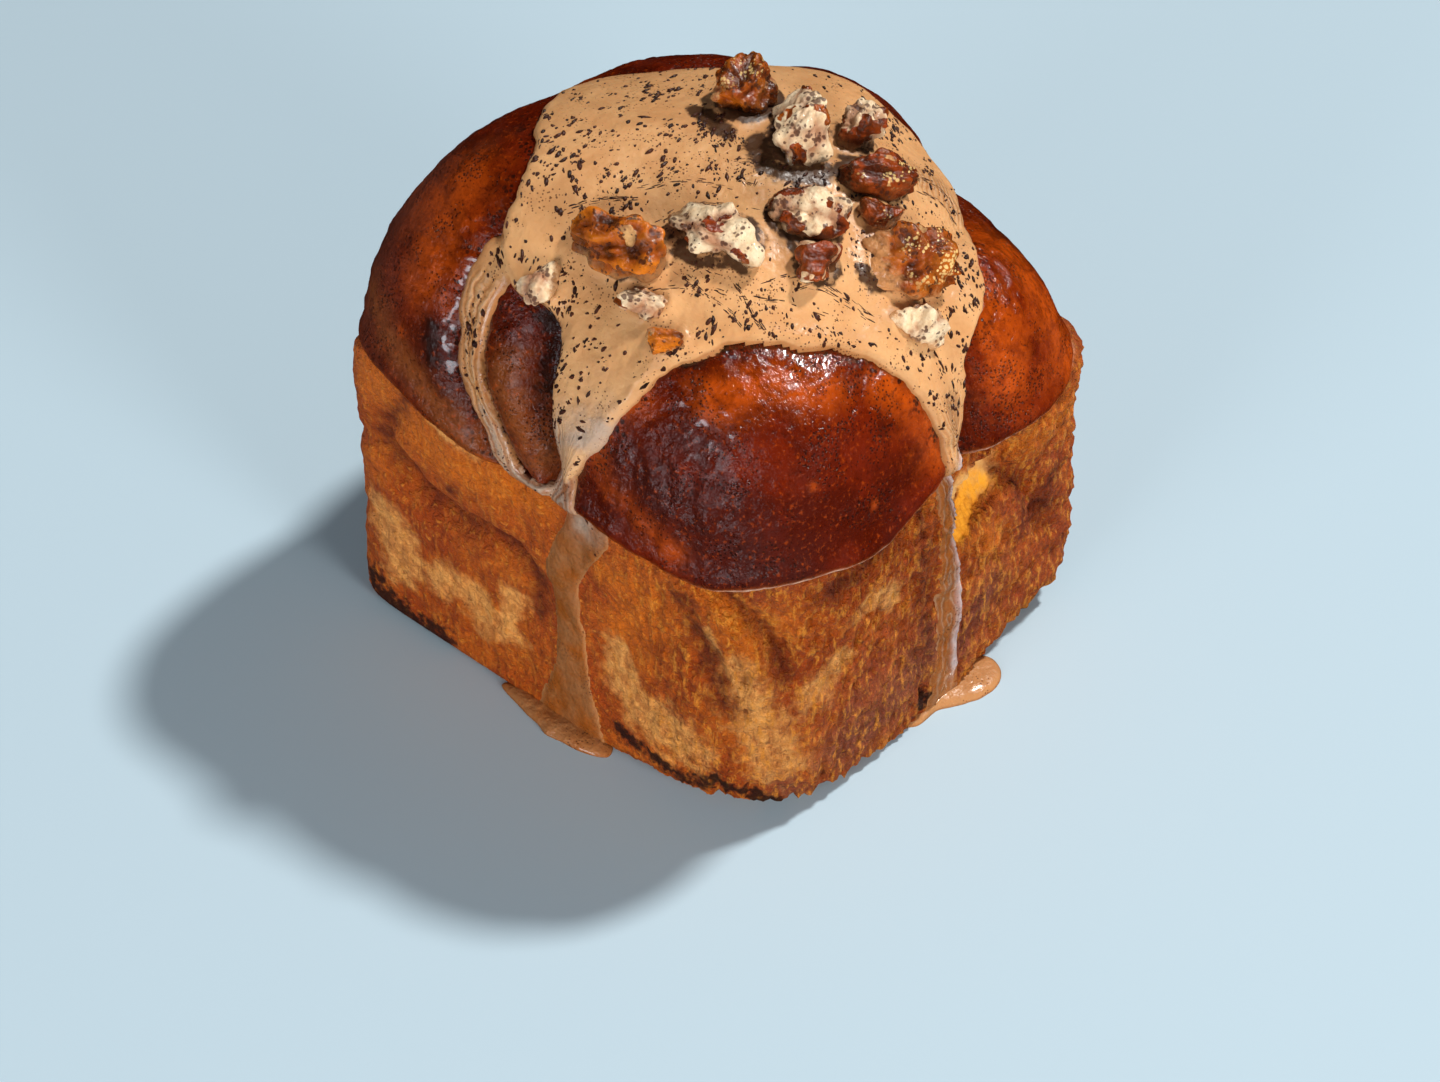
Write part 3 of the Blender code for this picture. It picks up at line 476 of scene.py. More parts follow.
def cells(points, size, seed):
    """Distance to the nearest of a scatter of points, one in each cube of the lattice, in cube sizes."""
    p = points / np.asarray(size, float)
    base = np.floor(p)
    nearest = np.full(p.shape[:-1], 9.0)
    for offset in np.ndindex(3, 3, 3):
        cube = base + np.array(offset) - 1
        spot = np.stack([lattice(cube, seed + axis) for axis in range(3)], axis=-1) + cube
        nearest = np.minimum(nearest, ((p - spot) ** 2).sum(axis=-1))
    return np.sqrt(nearest)


def spots(u, table):
    """How strongly each direction lies in a list of soft round patches, from 0 to 1."""
    total = np.zeros(u.shape[:-1])
    for azimuth, elevation, spread, strength in table:
        closeness = u @ direction(azimuth, elevation) - 1
        total = np.maximum(total, strength * np.exp(closeness / (1 - np.cos(np.radians(spread)))))
    return total


def painted(u, points, strokes, seed):
    """How strongly each direction lies on strokes: full along a path, soft and ragged aside of it."""
    total = np.zeros(u.shape[:-1])
    ragged = 1 + 0.55 * noise(points, 5, seed, 3) + 0.3 * noise(points, 1.6, seed + 7, 2)
    for width, path in strokes:
        away, full = along_path(u, [(*place, 1.0) for place in path])
        total = np.maximum(total, full * np.exp(-(away / (width * ragged)) ** 2))
    return total


class Crust:
    """Everything known about the loaf's surface along some directions: distance, relief and masks.

    The plain distance is the wall's below the lip and the crown's above it, with the swellings, the overhang
    and the tuck. The creases and the window are taken off it, and then the broad and the fine relief added.
    """

    def __init__(self, u):
        self.u = u
        azimuth, elevation = azimuth_of(u), elevation_of(u)
        self.lip = lip_elevation(azimuth)
        band = np.degrees(LIP_BAND / HEART_HEIGHT)
        self.above_lip = (elevation - self.lip) * np.pi / 180 * HEART_HEIGHT
        self.crown = smooth_step(elevation, self.lip - band, self.lip + band)
        self.standing = smooth_step(elevation, *STANDING)
        self.creases = creasing(u)
        self.window = torn_window(u) * (1 - self.crown)
        swollen = swelling(u)
        wall = wall_distance(u) + swollen * SWOLLEN_WALL * self.standing
        crown = crown_distance(u) + swollen
        out, above, softness = OVERHANG
        overhang = out * np.exp(-(self.above_lip - above) ** 2 / softness) * self.crown
        into, softness = TUCK
        tuck = into * np.exp(self.above_lip / softness) * (1 - self.crown) * self.standing
        self.plain = wall * (1 - self.crown) + (crown + overhang) * self.crown - tuck
        self.filled = self.plain - self.relief_depth(1 - ICING_FILLS)
        self.smooth = self.plain - self.relief_depth(1.0)
        self.points = from_heart(u, self.smooth)
        self.broad = self.broad_relief()
        self.fine = self.fine_relief()
        self.distance = self.smooth + self.broad + self.fine

    def relief_depth(self, share):
        """How deep the window and a share of the creases cut, on the crown and on walls that stand."""
        return (self.creases * share + self.window) * np.maximum(self.crown, self.standing)

    def broad_relief(self):
        """Unevenness of five millimetres and more: slumped walls, scalloped far corner, wrinkled lobe."""
        off_floor = smooth_step(self.points[..., 2], 0.5, 8)
        walls = noise(self.points, 14, 3) * 1.3 + noise(self.points * [1, 1, 0.45], 5.5, 5) * 0.7
        scallops = noise(self.points * [0.4, 0.4, 1], 5.0, 9, 2) * 1.8 * spots(self.u, SCALLOPED)
        dome = noise(self.points, 20, 11, 2) * 0.6
        ridges = np.sin(azimuth_of(self.u) * 0.9 + noise(self.points, 9, 21, 2) * 5)
        furrows = -np.abs(noise(self.points * [1, 1, 0.45], 2.6, 22, 2))
        dome = dome + spots(self.u, WRINKLED) * (0.25 * ridges + 0.9 * furrows)
        return ((walls + scallops) * (1 - self.crown) + dome * self.crown) * off_floor

    def fine_relief(self):
        """Torn crumb, pits and threads on the walls, blisters and grain on the crown."""
        p = self.points
        right = smooth_step(self.u[..., 0], 0.15, 0.6)
        threads = -np.abs(noise(p * [1, 1, 0.35], 2.6, 31, 2)) + 0.3
        lumps = noise(p, 1.7, 33, 2)
        flakes = np.abs(noise(p * [1, 1, 0.7], 1.5, 35, 2)) - 0.3
        crumb = threads * (0.7 + 1.2 * right) + lumps * (0.25 + 0.6 * right) + flakes * (0.3 + 0.9 * right)
        low = np.exp(-p[..., 2] / 7.0)
        crumb = crumb * (0.8 + 0.8 * low) * (1 - spots(self.u, SMOOTHER_CRUMB))
        blister = smooth_step(0.3 - cells(p, 8.0, 41), 0, 0.2) * 0.3
        grain = noise(p, 1.3, 43, 2) * 0.12 + noise(p, 4.0, 44, 2) * 0.25
        grain = (grain - np.abs(noise(p, 2.4, 45, 2)) * 0.25) * (1 + painted(self.u, p, STROKES["wet"], 46))
        off_floor = smooth_step(p[..., 2], 0.2, 2.5)
        return (crumb * (1 - self.crown) + (blister + grain) * self.crown) * off_floor


def azimuths(stretches):
    """Azimuths of the columns: even within each stretch, and closer together where the photo looks."""
    pieces = [np.linspace(first, last, steps, endpoint=False) for first, last, steps in stretches]
    return np.concatenate(pieces)


def row_directions(azimuth, rows):
    """Directions of level rows: below 0 the flat base, 0 to 1 the wall up to the lip, 1 to 2 the crown."""
    azimuth = azimuth + 0 * rows[:, None]
    level = direction(azimuth, 0 * azimuth)
    foot = -np.degrees(np.arctan2(HEART_HEIGHT, wall_distance(level)))
    lip = lip_elevation(azimuth)
    share = rows[:, None]
    below = foot + share * (90 + foot)
    wall = foot + share * (lip - foot)
    crown = lip + (share - 1) * (90 - lip)
    return direction(azimuth, np.where(share < 0, below, np.where(share < 1, wall, crown)))


def ball_faces(around, rows):
    """Triangles of a closed ball: the bottom pole is point 0, then the rows, and the top pole comes last."""
    i = np.arange(around)
    j = (i + 1) % around
    top = around * rows + 1
    start = 1 + around * np.arange(rows - 1)[:, None]
    a, b, c, d = start + i, start + j, start + around + j, start + around + i
    sides = np.concatenate([np.stack([a, b, c], -1).reshape(-1, 3), np.stack([a, c, d], -1).reshape(-1, 3)])
    bottom = np.stack([0 * i, 1 + j, 1 + i], -1)
    cap = np.stack([0 * i + top, top - around + i, top - around + j], -1)
    return np.concatenate([bottom, sides, cap])


def add_piece(name, points, faces, material, replaced=(), masks=None):
    """A mesh from arrays of points and triangles, with a value at each point for every mask."""
    mesh = bpy.data.meshes.new(name)
    mesh.from_pydata(points * MM, [], faces, shade_flat=False)
    for mask, values in (masks or {}).items():
        layer = mesh.attributes.new(mask, "FLOAT", "POINT")
        layer.data.foreach_set("value", np.asarray(values, np.float32).ravel())
    mesh.materials.append(material)
    piece = bpy.data.objects.new(name, mesh)
    bpy.context.scene.collection.objects.link(piece)
    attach(piece, "root")
    if replaced:
        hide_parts(*replaced)
    return piece


def make_loaf(material):
    """The loaf's crust: one closed grid of directions, at the crust's distance."""
    u = row_directions(azimuths(LOAF_COLUMNS), LOAF_ROWS)
    rows, around = u.shape[:2]
    u = np.vstack([[[0, 0, -1]], u.reshape(-1, 3), [[0, 0, 1]]])
    crust = Crust(u)
    points = from_heart(u, crust.distance)
    points[:, 2] = np.maximum(points[:, 2], 0)
    masks = {
        "crown": crust.crown,
        "above_lip": crust.above_lip,
        "relief": crust.fine,
        "right": smooth_step(u[:, 0], 0.15, 0.6),
        "iced": icing_inside(u, crust),
    }
    for number, (colour, strokes) in enumerate(STROKES.items()):
        masks[colour] = painted(u, crust.points, strokes, 90 + 10 * number)
    return add_piece("loaf_crust", points, ball_faces(around, rows), material, ("loaf",), masks)


def icing_layer(inside, height):
    """The icing's thickness by the distance inside its edge: steep at the edge, a slight bead, then level."""
    level = height * (1 - np.exp(-np.maximum(inside, 0) / EDGE_SOFTNESS))
    share, middle, width = BEAD
    bead = share * height * np.exp(-((inside - middle) / width) ** 2)
    return np.where(inside > 0, level + bead, EDGE_SLOPE * inside)


def sheet_inside(u, points):
    """How far inside the poured sheet's edge each direction is, in millimetres, with a wavering edge."""
    azimuth, elevation = azimuth_of(u), elevation_of(u)
    edge = round_table(azimuth, ICING_EDGE)
    ahead, behind = round_table(azimuth + 1, ICING_EDGE), round_table(azimuth - 1, ICING_EDGE)
    slope = (ahead - behind) / 2 / np.maximum(np.cos(np.radians(elevation)), 0.3)
    inside = np.radians(elevation - edge) * HEART_HEIGHT / np.sqrt(1 + slope ** 2)
    return inside + noise(points, 6, 51, 3) * 1.6


def run_inside(u, points, run):
    """How far inside a run's edge each direction is: its half width less the way aside, wavering a little."""
    away, half_width = along_path(u, run)
    return half_width - away + noise(points, 3, 53, 2) * 0.5


def icing_inside(u, crust):
    """The largest distance inside any of the icing's edges."""
    inside = sheet_inside(u, crust.points)
    for _, run in RUNS.values():
        inside = np.maximum(inside, run_inside(u, crust.points, run))
    return inside


def pecan_places():
    """Each pecan piece: its middle, its axes along, across and up, its sizes, seed and colour."""
    for name, (azimuth, elevation, length, width, height, turn, seed, *colour) in PECANS.items():
        up = direction(azimuth, elevation)
        east = direction(azimuth + 90, 0)
        north = np.cross(up, east)
        c, s = np.cos(np.radians(turn)), np.sin(np.radians(turn))
        axes = np.stack([c * east + s * north, c * north - s * east, up])
        lie = Crust(up[None]).filled[0] + CLEARANCE + ICING_THICKNESS + (0.5 - PECAN_SINK) * height
        middle = from_heart(up, np.array(lie))
        yield name, middle, axes, np.array([length, width, height]), seed, colour


class Icing:
    """The icing's surface along some directions: its distance and thickness, and where it is thin or dark.

    The sheet and the runs are joined by a soft maximum. The string is a ridge on them, and round each nut
    there is a collar that falls off with the gap to it. A slow ripple is added where the icing is thick.
    """

    def __init__(self, u):
        crust = Crust(u)
        p = crust.points
        sheet = icing_layer(sheet_inside(u, p), ICING_THICKNESS)
        thickness = sheet
        film = np.full(sheet.shape, -3.0)
        for name, (height, run) in RUNS.items():
            layer = icing_layer(run_inside(u, p, run), height)
            thickness = -smooth_min(-thickness, -layer, RUN_BLEND)
            if name != "left":
                film = np.maximum(film, layer - 3 * crust.crown * (name != "film"))
        height, string = STRING
        away, size = along_path(u, string)
        ridge = height * size * np.exp(-(away / (STRING_WIDTH * np.maximum(size, 0.4))) ** 2) * STRING_LIFT
        thickness = thickness + ridge * smooth_step(thickness, -1.5, 0.0)
        middle_of_run = smooth_step(thickness, 0.0, 0.4)
        # A dark ring round each nut's foot, fainter under pieces on light syrup: painted contact shade,
        # partly dark syrup
        self.syrup = 0 * thickness
        for _, middle, axes, sizes, _, (*_, tan) in pecan_places():
            aside = (p - middle) @ axes[:2].T
            gap = (np.linalg.norm(aside / sizes[:2] * 2, axis=-1) - 0.85) * sizes[:2].mean() / 2
            thickness = thickness + middle_of_run * np.exp(-np.maximum(gap, 0) / NUT_COLLAR)
            self.syrup = np.maximum(self.syrup, np.exp(-np.maximum(gap - 0.4, 0) / 0.9) * (1 - tan))
        ripple = noise(p, 8, 55, 2) * 0.35 + noise(p, 3, 56, 2) * 0.08
        base = crust.filled + crust.broad * 0.8 + crust.fine * (1 - crust.crown) * 0.7
        self.crust = crust
        self.thickness = thickness
        self.film = smooth_step(film, 0.0, 0.25) * (1 - smooth_step(sheet, 0.3, 1.2))
        self.string = np.exp(-(away / STRING_WIDTH) ** 2) * smooth_step(size, 0.2, 0.7)
        self.distance = base + thickness + ripple * smooth_step(thickness, 0.2, 1.0)
        self.points = from_heart(u, self.distance)
        self.points[..., 2] = np.maximum(self.points[..., 2], 0.05)


def make_icing(material):
    """The icing: an outer grid over the crust and an inner one sunk in it, joined round the edge."""
    u = row_directions(azimuths(ICING_COLUMNS), ICING_ROWS)
    rows, around = u.shape[:2]
    u = np.vstack([u.reshape(-1, 3), [[0, 0, 1]]])
    icing = Icing(u)
    inner = from_heart(u, icing.distance - np.maximum(icing.thickness, 0) - ICING_BURIED)
    points = np.vstack([icing.points, inner])
    count = len(u)
    number = np.arange(rows * around).reshape(rows, around)
    covered = (icing.thickness[:-1] > COVERED).reshape(rows, around)
    covered = covered | np.roll(covered, 1, 1) | np.roll(covered, -1, 1)
    here = covered[:-1] & covered[1:] & np.roll(covered, -1, 1)[:-1] & np.roll(covered, -1, 1)[1:]
    a, d = number[:-1][here], number[1:][here]
    b, c = np.roll(number, -1, 1)[:-1][here], np.roll(number, -1, 1)[1:][here]
    sheet = np.concatenate([np.stack([a, b, c], -1), np.stack([a, c, d], -1)])
    last = number[-1]
    cap = np.stack([0 * last + count - 1, last, np.roll(last, -1)], -1)
    sheet = np.concatenate([sheet, cap])
    faces = [sheet, sheet[:, ::-1] + count]
    padded = np.pad(here, ((1, 1), (0, 0)))
    below, above = padded[:-2], np.vstack([padded[2:-1], np.ones((1, around), bool)])
    corners = [number[:-1], np.roll(number, -1, 1)[:-1], np.roll(number, -1, 1)[1:], number[1:]]
    sides = [(0, 1, below), (1, 2, np.roll(here, -1, 1)), (2, 3, above), (3, 0, np.roll(here, 1, 1))]
    for first, second, neighbour in sides:
        rim = here & ~neighbour
        p, q = corners[first][rim], corners[second][rim]
        faces += [np.stack([q, p, p + count], -1), np.stack([q, p + count, q + count], -1)]
    faces = np.concatenate(faces)
    used = np.zeros(2 * count, bool)
    used[faces] = True
    renumbered = np.cumsum(used) - 1
    masks = {
        "film": icing.film,
        "thickness": icing.thickness,
        "inside": icing_inside(u, icing.crust),
        "string": icing.string,
        "ring": icing.syrup,
    }
    for number, (look, strokes) in enumerate(ICING_STROKES.items()):
        masks[look] = painted(u, icing.crust.points, strokes, 190 + 10 * number)
    masks = {mask: np.tile(values, 2)[used] for mask, values in masks.items()}
    return add_piece("icing_poured", points[used], renumbered[faces], material, ("icing",), masks)


def pecan_form(around, rows, seed):
    """A broken kernel inside a box of half sizes 1: a ball cut by some flat breaks, with a faint waviness."""
    draw = np.random.default_rng(seed)
    breaks = unit(draw.normal(size=(PECAN_BREAKS, 3)))
    depths = draw.uniform(*BREAK_DEPTHS, PECAN_BREAKS)
    elevation = np.linspace(-90, 90, rows + 2)[1:-1, None]
    azimuth = np.linspace(-180, 180, around, endpoint=False)
    u = direction(azimuth + 0 * elevation, elevation + 0 * azimuth).reshape(-1, 3)
    u = np.vstack([[0, 0, -1], u, [0, 0, 1]])
    reach = 1 / (np.abs(u) ** PECAN_SQUARENESS).sum(axis=1) ** (1 / PECAN_SQUARENESS)
    broken = np.zeros(len(u))
    for number, (normal, depth) in enumerate(zip(breaks, depths)):
        cut = depth / np.maximum(u @ normal, 0.05)
        taken = smooth_step(reach - cut, *BREAK_EDGE)
        broken = np.maximum(broken * (1 - taken), taken * (number % 3 != 0))
        reach = smooth_min(reach, cut, BREAK_BLEND)
    reach = reach * (1 + 0.06 * np.sin(u @ draw.uniform(-9, 9, 3) + 1) * np.sin(u @ draw.uniform(-9, 9, 3)))
    points = u * reach[:, None]
    return points / np.abs(points).max(axis=0), u, broken


def make_pecan(name, middle, axes, sizes, seed, colour, material):
    """One piece of pecan: its skin has long wrinkles, and its breaks are knobbly and grainy."""
    form, u, broken = pecan_form(PECAN_AROUND, PECAN_ROWS, seed)
    local = form * sizes / 2
    shifted = local + seed * 40.0
    patches = noise(shifted, 5.0, 58, 2) + 0.5 * noise(shifted, 1.8, 59, 2)
    broken = smooth_step(broken * 0.2 + patches + 1.1 * (colour[0] - 0.5), 0.0, 0.18)
    knobs = noise(shifted, 4.2, 60, 2) * 0.7
    bulges = (0.4 - cells(shifted, 5.6, 66)) * 3.4
    grains = noise(shifted, 1.0, 62, 2) * 0.45
    folds = -np.abs(noise(shifted * [0.35, 1, 1], 2.2, 64, 2)) * 1.6 + 0.4
    relief = knobs + bulges * (0.5 + 0.5 * broken) + broken * grains + (1 - broken) * (folds + grains * 0.4)
    away = unit(form / (sizes / 2))
    local = local + away * relief[:, None] * min(1.0, sizes.min() / 8)
    points = middle + local @ axes
    masks = {"broken": broken, "low": local[:, 2] / sizes[2] + 0.5, "relief": relief}
    masks.update((mask, np.full(len(u), value)) for mask, value in zip(("pale", "orange", "tan"), colour))
    faces = ball_faces(PECAN_AROUND, PECAN_ROWS)
    return add_piece(name + "_kernel", points, faces, material, (name,), masks)


def make_puddle(name, outline, thin, material):
    """A low dome over a smooth closed outline: its height falls off as a power curve towards the rim."""
    rim = smooth_through(outline, PUDDLE_STEPS, closed=True)
    centre = rim.mean(axis=0)
    outward = unit(rim - centre)
    ripple = noise(np.column_stack([rim, 0 * rim[:, 0]]), 4, 70, 2)
    rim = rim + outward * ripple[:, None] * 0.5
    share = np.sin(np.linspace(0.5, 0, PUDDLE_ROWS, endpoint=False) * np.pi)[:, None]
    flat = centre + (rim - centre)[None] * share[..., None]
    height = PUDDLE_HEIGHT * (1 - share ** PUDDLE_FLATNESS) ** PUDDLE_STEEPNESS + 0 * rim[:, 0]
    dome = np.concatenate([flat, height[..., None]], axis=-1)
    points = np.vstack([[[*centre, 0]], dome.reshape(-1, 3), [[*centre, PUDDLE_HEIGHT]]])
    same = np.ones(len(points))
    masks = {"film": thin * same, "thickness": points[:, 2], "inside": 4.0 * same}
    faces = ball_faces(len(rim), PUDDLE_ROWS)
    return add_piece(name + "_pool", points, faces, material, (name,), masks)


def flow_direction(u):
    """The way the icing ran, tangent to the surface: across the crown, then down into its three drains."""
    across = direction(FLOW_AZIMUTH, 0.0) + 0 * u
    total = across * 0.5
    for azimuth, elevation, pull in DRAINS:
        drain = direction(azimuth, elevation)
        toward = drain - u
        closeness = np.exp(-(toward ** 2).sum(axis=-1, keepdims=True) / 0.35)
        total = total + unit(toward) * closeness * pull
    swirl = np.cross(u, total) * noise(u * HEART_HEIGHT, 14, 81, 2)[..., None] * 1.2
    total = total + swirl
    return unit(total - u * (u * total).sum(axis=-1, keepdims=True))


def swirl_places(draw):
    """Places strung along each drawn line with a little scatter, and the line's course at each of them."""
    places, courses = [], []
    for line in SWIRLS:
        path = unit(smooth_through([direction(*place) for place in line], PATH_STEPS))
        share = np.sort(draw.uniform(0, len(path) - 1.001, SWIRL_SPECKS))
        before = share.astype(int)
        step = path[before + 1] - path[before]
        place = path[before] + step * (share - before)[:, None]
        side = unit(np.cross(place, step))
        places.append(unit(place + side * draw.normal(0, DRAWN_SCATTER, SWIRL_SPECKS)[:, None]))
        courses.append(unit(step))
    return np.concatenate(places), np.concatenate(courses)


def make_specks(material):
    """Nut and spice flakes in the icing: each a thin closed lens, stretched along the way the icing ran."""
    draw = np.random.default_rng(5)
    azimuth = draw.uniform(-180, 180, SPECK_TRIES)
    height = draw.uniform(-0.2, 1, SPECK_TRIES)
    u = direction(azimuth, np.degrees(np.arcsin(height)))
    icing = Icing(u)
    crowded = smooth_step(noise(icing.crust.points, 11, 83, 3), -0.25, 0.45)
    crowded = np.maximum(crowded * 0.8 + 0.08, spots(u, SPECKLED))
    crowded = crowded * (1 - 0.85 * spots(u, CLEAN))
    clumps = smooth_step(noise(icing.crust.points, 2.2, 84, 2), -0.1, 0.35)
    crowded = crowded * (0.12 + 1.2 * clumps) * (1 - 0.7 * icing.film)
    kept = (icing.thickness > 0.3) & (draw.uniform(0, 1, SPECK_TRIES) < crowded)
    u = u[kept]
    count = len(u)
    median, spread, least, most = SPECK_LENGTH
    length = np.exp(draw.normal(np.log(median), spread, count)).clip(least, most)
    slim, broad, least, most = SPECK_WIDTH
    width = (length * draw.uniform(slim, broad, count)).clip(least, most)
    along = flow_direction(u)
    drawn, course = swirl_places(draw)
    u, along = np.concatenate([u, drawn]), np.concatenate([along, course])
    length = np.concatenate([length, draw.uniform(*DRAWN_LENGTH, len(drawn))])
    width = np.concatenate([width, draw.uniform(*DRAWN_WIDTH, len(drawn))])
    count = len(u)
    steady = np.where(np.arange(count) < count - len(drawn), 1, DRAWN_TURN)
    turn = (draw.normal(0, SPECK_TURN, count) * steady)[:, None]
    side = np.cross(u, along)
    along, side = along * np.cos(turn) + side * np.sin(turn), side * np.cos(turn) - along * np.sin(turn)
    ring = np.linspace(0, 2 * np.pi, SPECK_SIDES, endpoint=False)
    ragged = draw.uniform(*SPECK_RAGGED, (count, SPECK_SIDES))
    reach = (np.cos(ring) * ragged)[..., None] * along[:, None] * length[:, None, None] / 2
    reach = reach + (np.sin(ring) * ragged)[..., None] * side[:, None] * width[:, None, None] / 2
    outline = unit(u[:, None] * HEART_HEIGHT + reach)
    rim = Icing(outline.reshape(-1, 3)).points.reshape(count, SPECK_SIDES, 3)
    middle = rim.mean(axis=1)
    thick = (width * SPECK_THICK)[:, None]
    points = np.concatenate([rim, (middle + u * thick)[:, None], (middle - u * thick)[:, None]], axis=1)
    i = np.arange(SPECK_SIDES)
    j = (i + 1) % SPECK_SIDES
    upper = np.stack([i, j, 0 * i + SPECK_SIDES], -1)
    lower = np.stack([j, i, 0 * i + SPECK_SIDES + 1], -1)
    lens = np.concatenate([upper, lower])
    faces = (lens[None] + np.arange(count)[:, None, None] * (SPECK_SIDES + 2)).reshape(-1, 3)
    shade = np.repeat(draw.uniform(0, 1, count), SPECK_SIDES + 2)
    return add_piece("icing_specks", points.reshape(-1, 3), faces, material, (), {"shade": shade})


class Tree:
    """A node tree with short ways to add to it: each method returns the new node's output."""

    def __init__(self, tree):
        self.nodes, self.links = tree.nodes, tree.links

    def put(self, socket, value):
        if isinstance(value, bpy.types.NodeSocket):
            self.links.new(value, socket)
        elif value is not None:
            socket.default_value = value

    def add(self, kind, output=0, inputs=None, **settings):
        node = self.nodes.new("ShaderNode" + kind)
        for name, value in settings.items():
            setattr(node, name, value)
        for name, value in (inputs or {}).items():
            self.put(node.inputs[name], value)
        return node.outputs[output]

    def position(self):
        return self.add("TexCoord", "Object")

    def mask(self, name, share=None):
        """A piece's mask by its name, times a share, which may be a value or vary too."""
        value = self.add("Attribute", "Fac", attribute_name=name)
        return value if share is None else self.times(value, share)

    def noise(self, place, scale, detail=4.0, roughness=0.55, stretch=None):
        if stretch:
            place = self.add("Mapping", inputs={"Vector": place, "Scale": stretch})
        inputs = {"Vector": place, "Scale": scale, "Detail": detail, "Roughness": roughness}
        return self.add("TexNoise", "Fac", inputs)

    def voronoi(self, place, scale):
        return self.add("TexVoronoi", "Distance", {"Vector": place, "Scale": scale})

    def math(self, operation, a, b=0.5):
        return self.add("Math", 0, {0: a, 1: b}, operation=operation)

    def times(self, a, b):
        return self.math("MULTIPLY", a, b)

    def plus(self, a, b):
        return self.math("ADD", a, b)

    def fade(self, value, low, high, start=0.0, end=1.0):
        """From start to end as the value goes from low to high, in a smooth step."""
        inputs = {"Value": value, "From Min": low, "From Max": high, "To Min": start, "To Max": end}
        return self.add("MapRange", 0, inputs, interpolation_type="SMOOTHSTEP")

    def vary(self, by, start, end):
        return self.fade(by, 0, 1, start, end)

    def mix(self, share, a, b):
        node = self.nodes.new("ShaderNodeMix")
        node.data_type = "RGBA"
        for number, value in ((0, share), (6, a), (7, b)):
            value = (*value, 1.0) if isinstance(value, tuple) and len(value) == 3 else value
            self.put(node.inputs[number], value)
        return node.outputs[2]

    def coats(self, colour, *coats):
        """A colour with others laid over it in turn: each coat is its share, then its colour."""
        for share, over in coats:
            colour = self.mix(share, colour, over)
        return colour

    def mix_value(self, share, a, b):
        return self.add("Mix", 0, {0: share, 2: a, 3: b})

    def group(self, group, **inputs):
        inputs = {name.replace("_", " "): value for name, value in inputs.items()}
        return self.add("Group", 0, inputs, node_tree=group)

    def bump(self, height, distance):
        return self.add("Bump", 0, {"Height": height, "Distance": distance * MM, "Strength": 1.0})


def make_group(name, inputs, output, build):
    """A node group from its inputs, each a name and a value, and its one output, filled in by a function."""
    group = bpy.data.node_groups.new(name, "ShaderNodeTree")
    group.interface.new_socket(name="Place", in_out="INPUT", socket_type="NodeSocketVector")
    for socket, value in inputs.items():
        made = group.interface.new_socket(name=socket, in_out="INPUT", socket_type="NodeSocketFloat")
        made.default_value = value
    group.interface.new_socket(name=output, in_out="OUTPUT", socket_type="NodeSocketFloat")
    tree = Tree(group)
    start, end = group.nodes.new("NodeGroupInput"), group.nodes.new("NodeGroupOutput")
    tree.put(end.inputs[output], build(tree, start.outputs))
    return group


def build_freckles(tree, inputs):
    """Small sharp spots in some of the cells of a cell pattern, and fewer where its noise is low."""
    where = tree.noise(inputs["Place"], inputs["Cluster scale"], 2.0)
    distance = tree.voronoi(inputs["Place"], inputs["Scale"])
    size = tree.fade(where, 0.4, 0.65, 0.01, inputs["Size"])
    return tree.math("SUBTRACT", 1.0, tree.fade(distance, tree.times(size, 0.6), size))


def build_mottle(tree, inputs):
    """A patchy mask: noise pushed towards 0 or 1."""
    value = tree.noise(inputs["Place"], inputs["Scale"], 5.0, 0.6)
    return tree.fade(value, inputs["Low"], inputs["High"])


def build_crumb(tree, inputs):
    """Torn crumb: flakes standing high at the middles of small warped cells, low in between, in two sizes;
    the crust paints them bright where high and dark where low, partly as painted highlight and shade.
    """
    warp = tree.add("TexNoise", "Color", {"Vector": inputs["Place"], "Scale": 380.0, "Detail": 2.0})
    bent = tree.add("VectorMath", 0, {0: warp, 1: (0.0025, 0.0025, 0.0025)}, operation="MULTIPLY")
    place = tree.add("VectorMath", 0, {0: inputs["Place"], 1: bent}, operation="ADD")
    coarse = tree.voronoi(place, inputs["Scale"])
    fine = tree.voronoi(place, tree.times(inputs["Scale"], 2.3))
    both = tree.plus(tree.times(coarse, 0.6), tree.times(fine, 0.4))
    soft = tree.noise(place, tree.times(inputs["Scale"], 1.6), 4.0, 0.65)
    return tree.math("SUBTRACT", tree.times(soft, 1.3), tree.times(both, 0.9))


def make_groups():
    """The effects that the materials share, each with a place and some values to set."""
    sizes = {"Scale": 900.0, "Cluster scale": 90.0, "Size": 0.3}
    freckles = make_group("freckles", sizes, "Mask", build_freckles)
    mottle = make_group("mottle", {"Scale": 100.0, "Low": 0.4, "High": 0.6}, "Mask", build_mottle)
    crumb = make_group("crumb", {"Scale": 600.0}, "Height", build_crumb)
    return freckles, mottle, crumb


def new_material(name):
    """A material with an empty tree but for its Principled shader, and that shader's inputs."""
    material = bpy.data.materials.new(name)
    material.use_nodes = True
    material.node_tree.nodes.clear()
    tree = Tree(material.node_tree)
    shader = material.node_tree.nodes.new("ShaderNodeBsdfPrincipled")
    output = material.node_tree.nodes.new("ShaderNodeOutputMaterial")
    tree.links.new(shader.outputs[0], output.inputs[0])
    return material, tree, shader.inputs


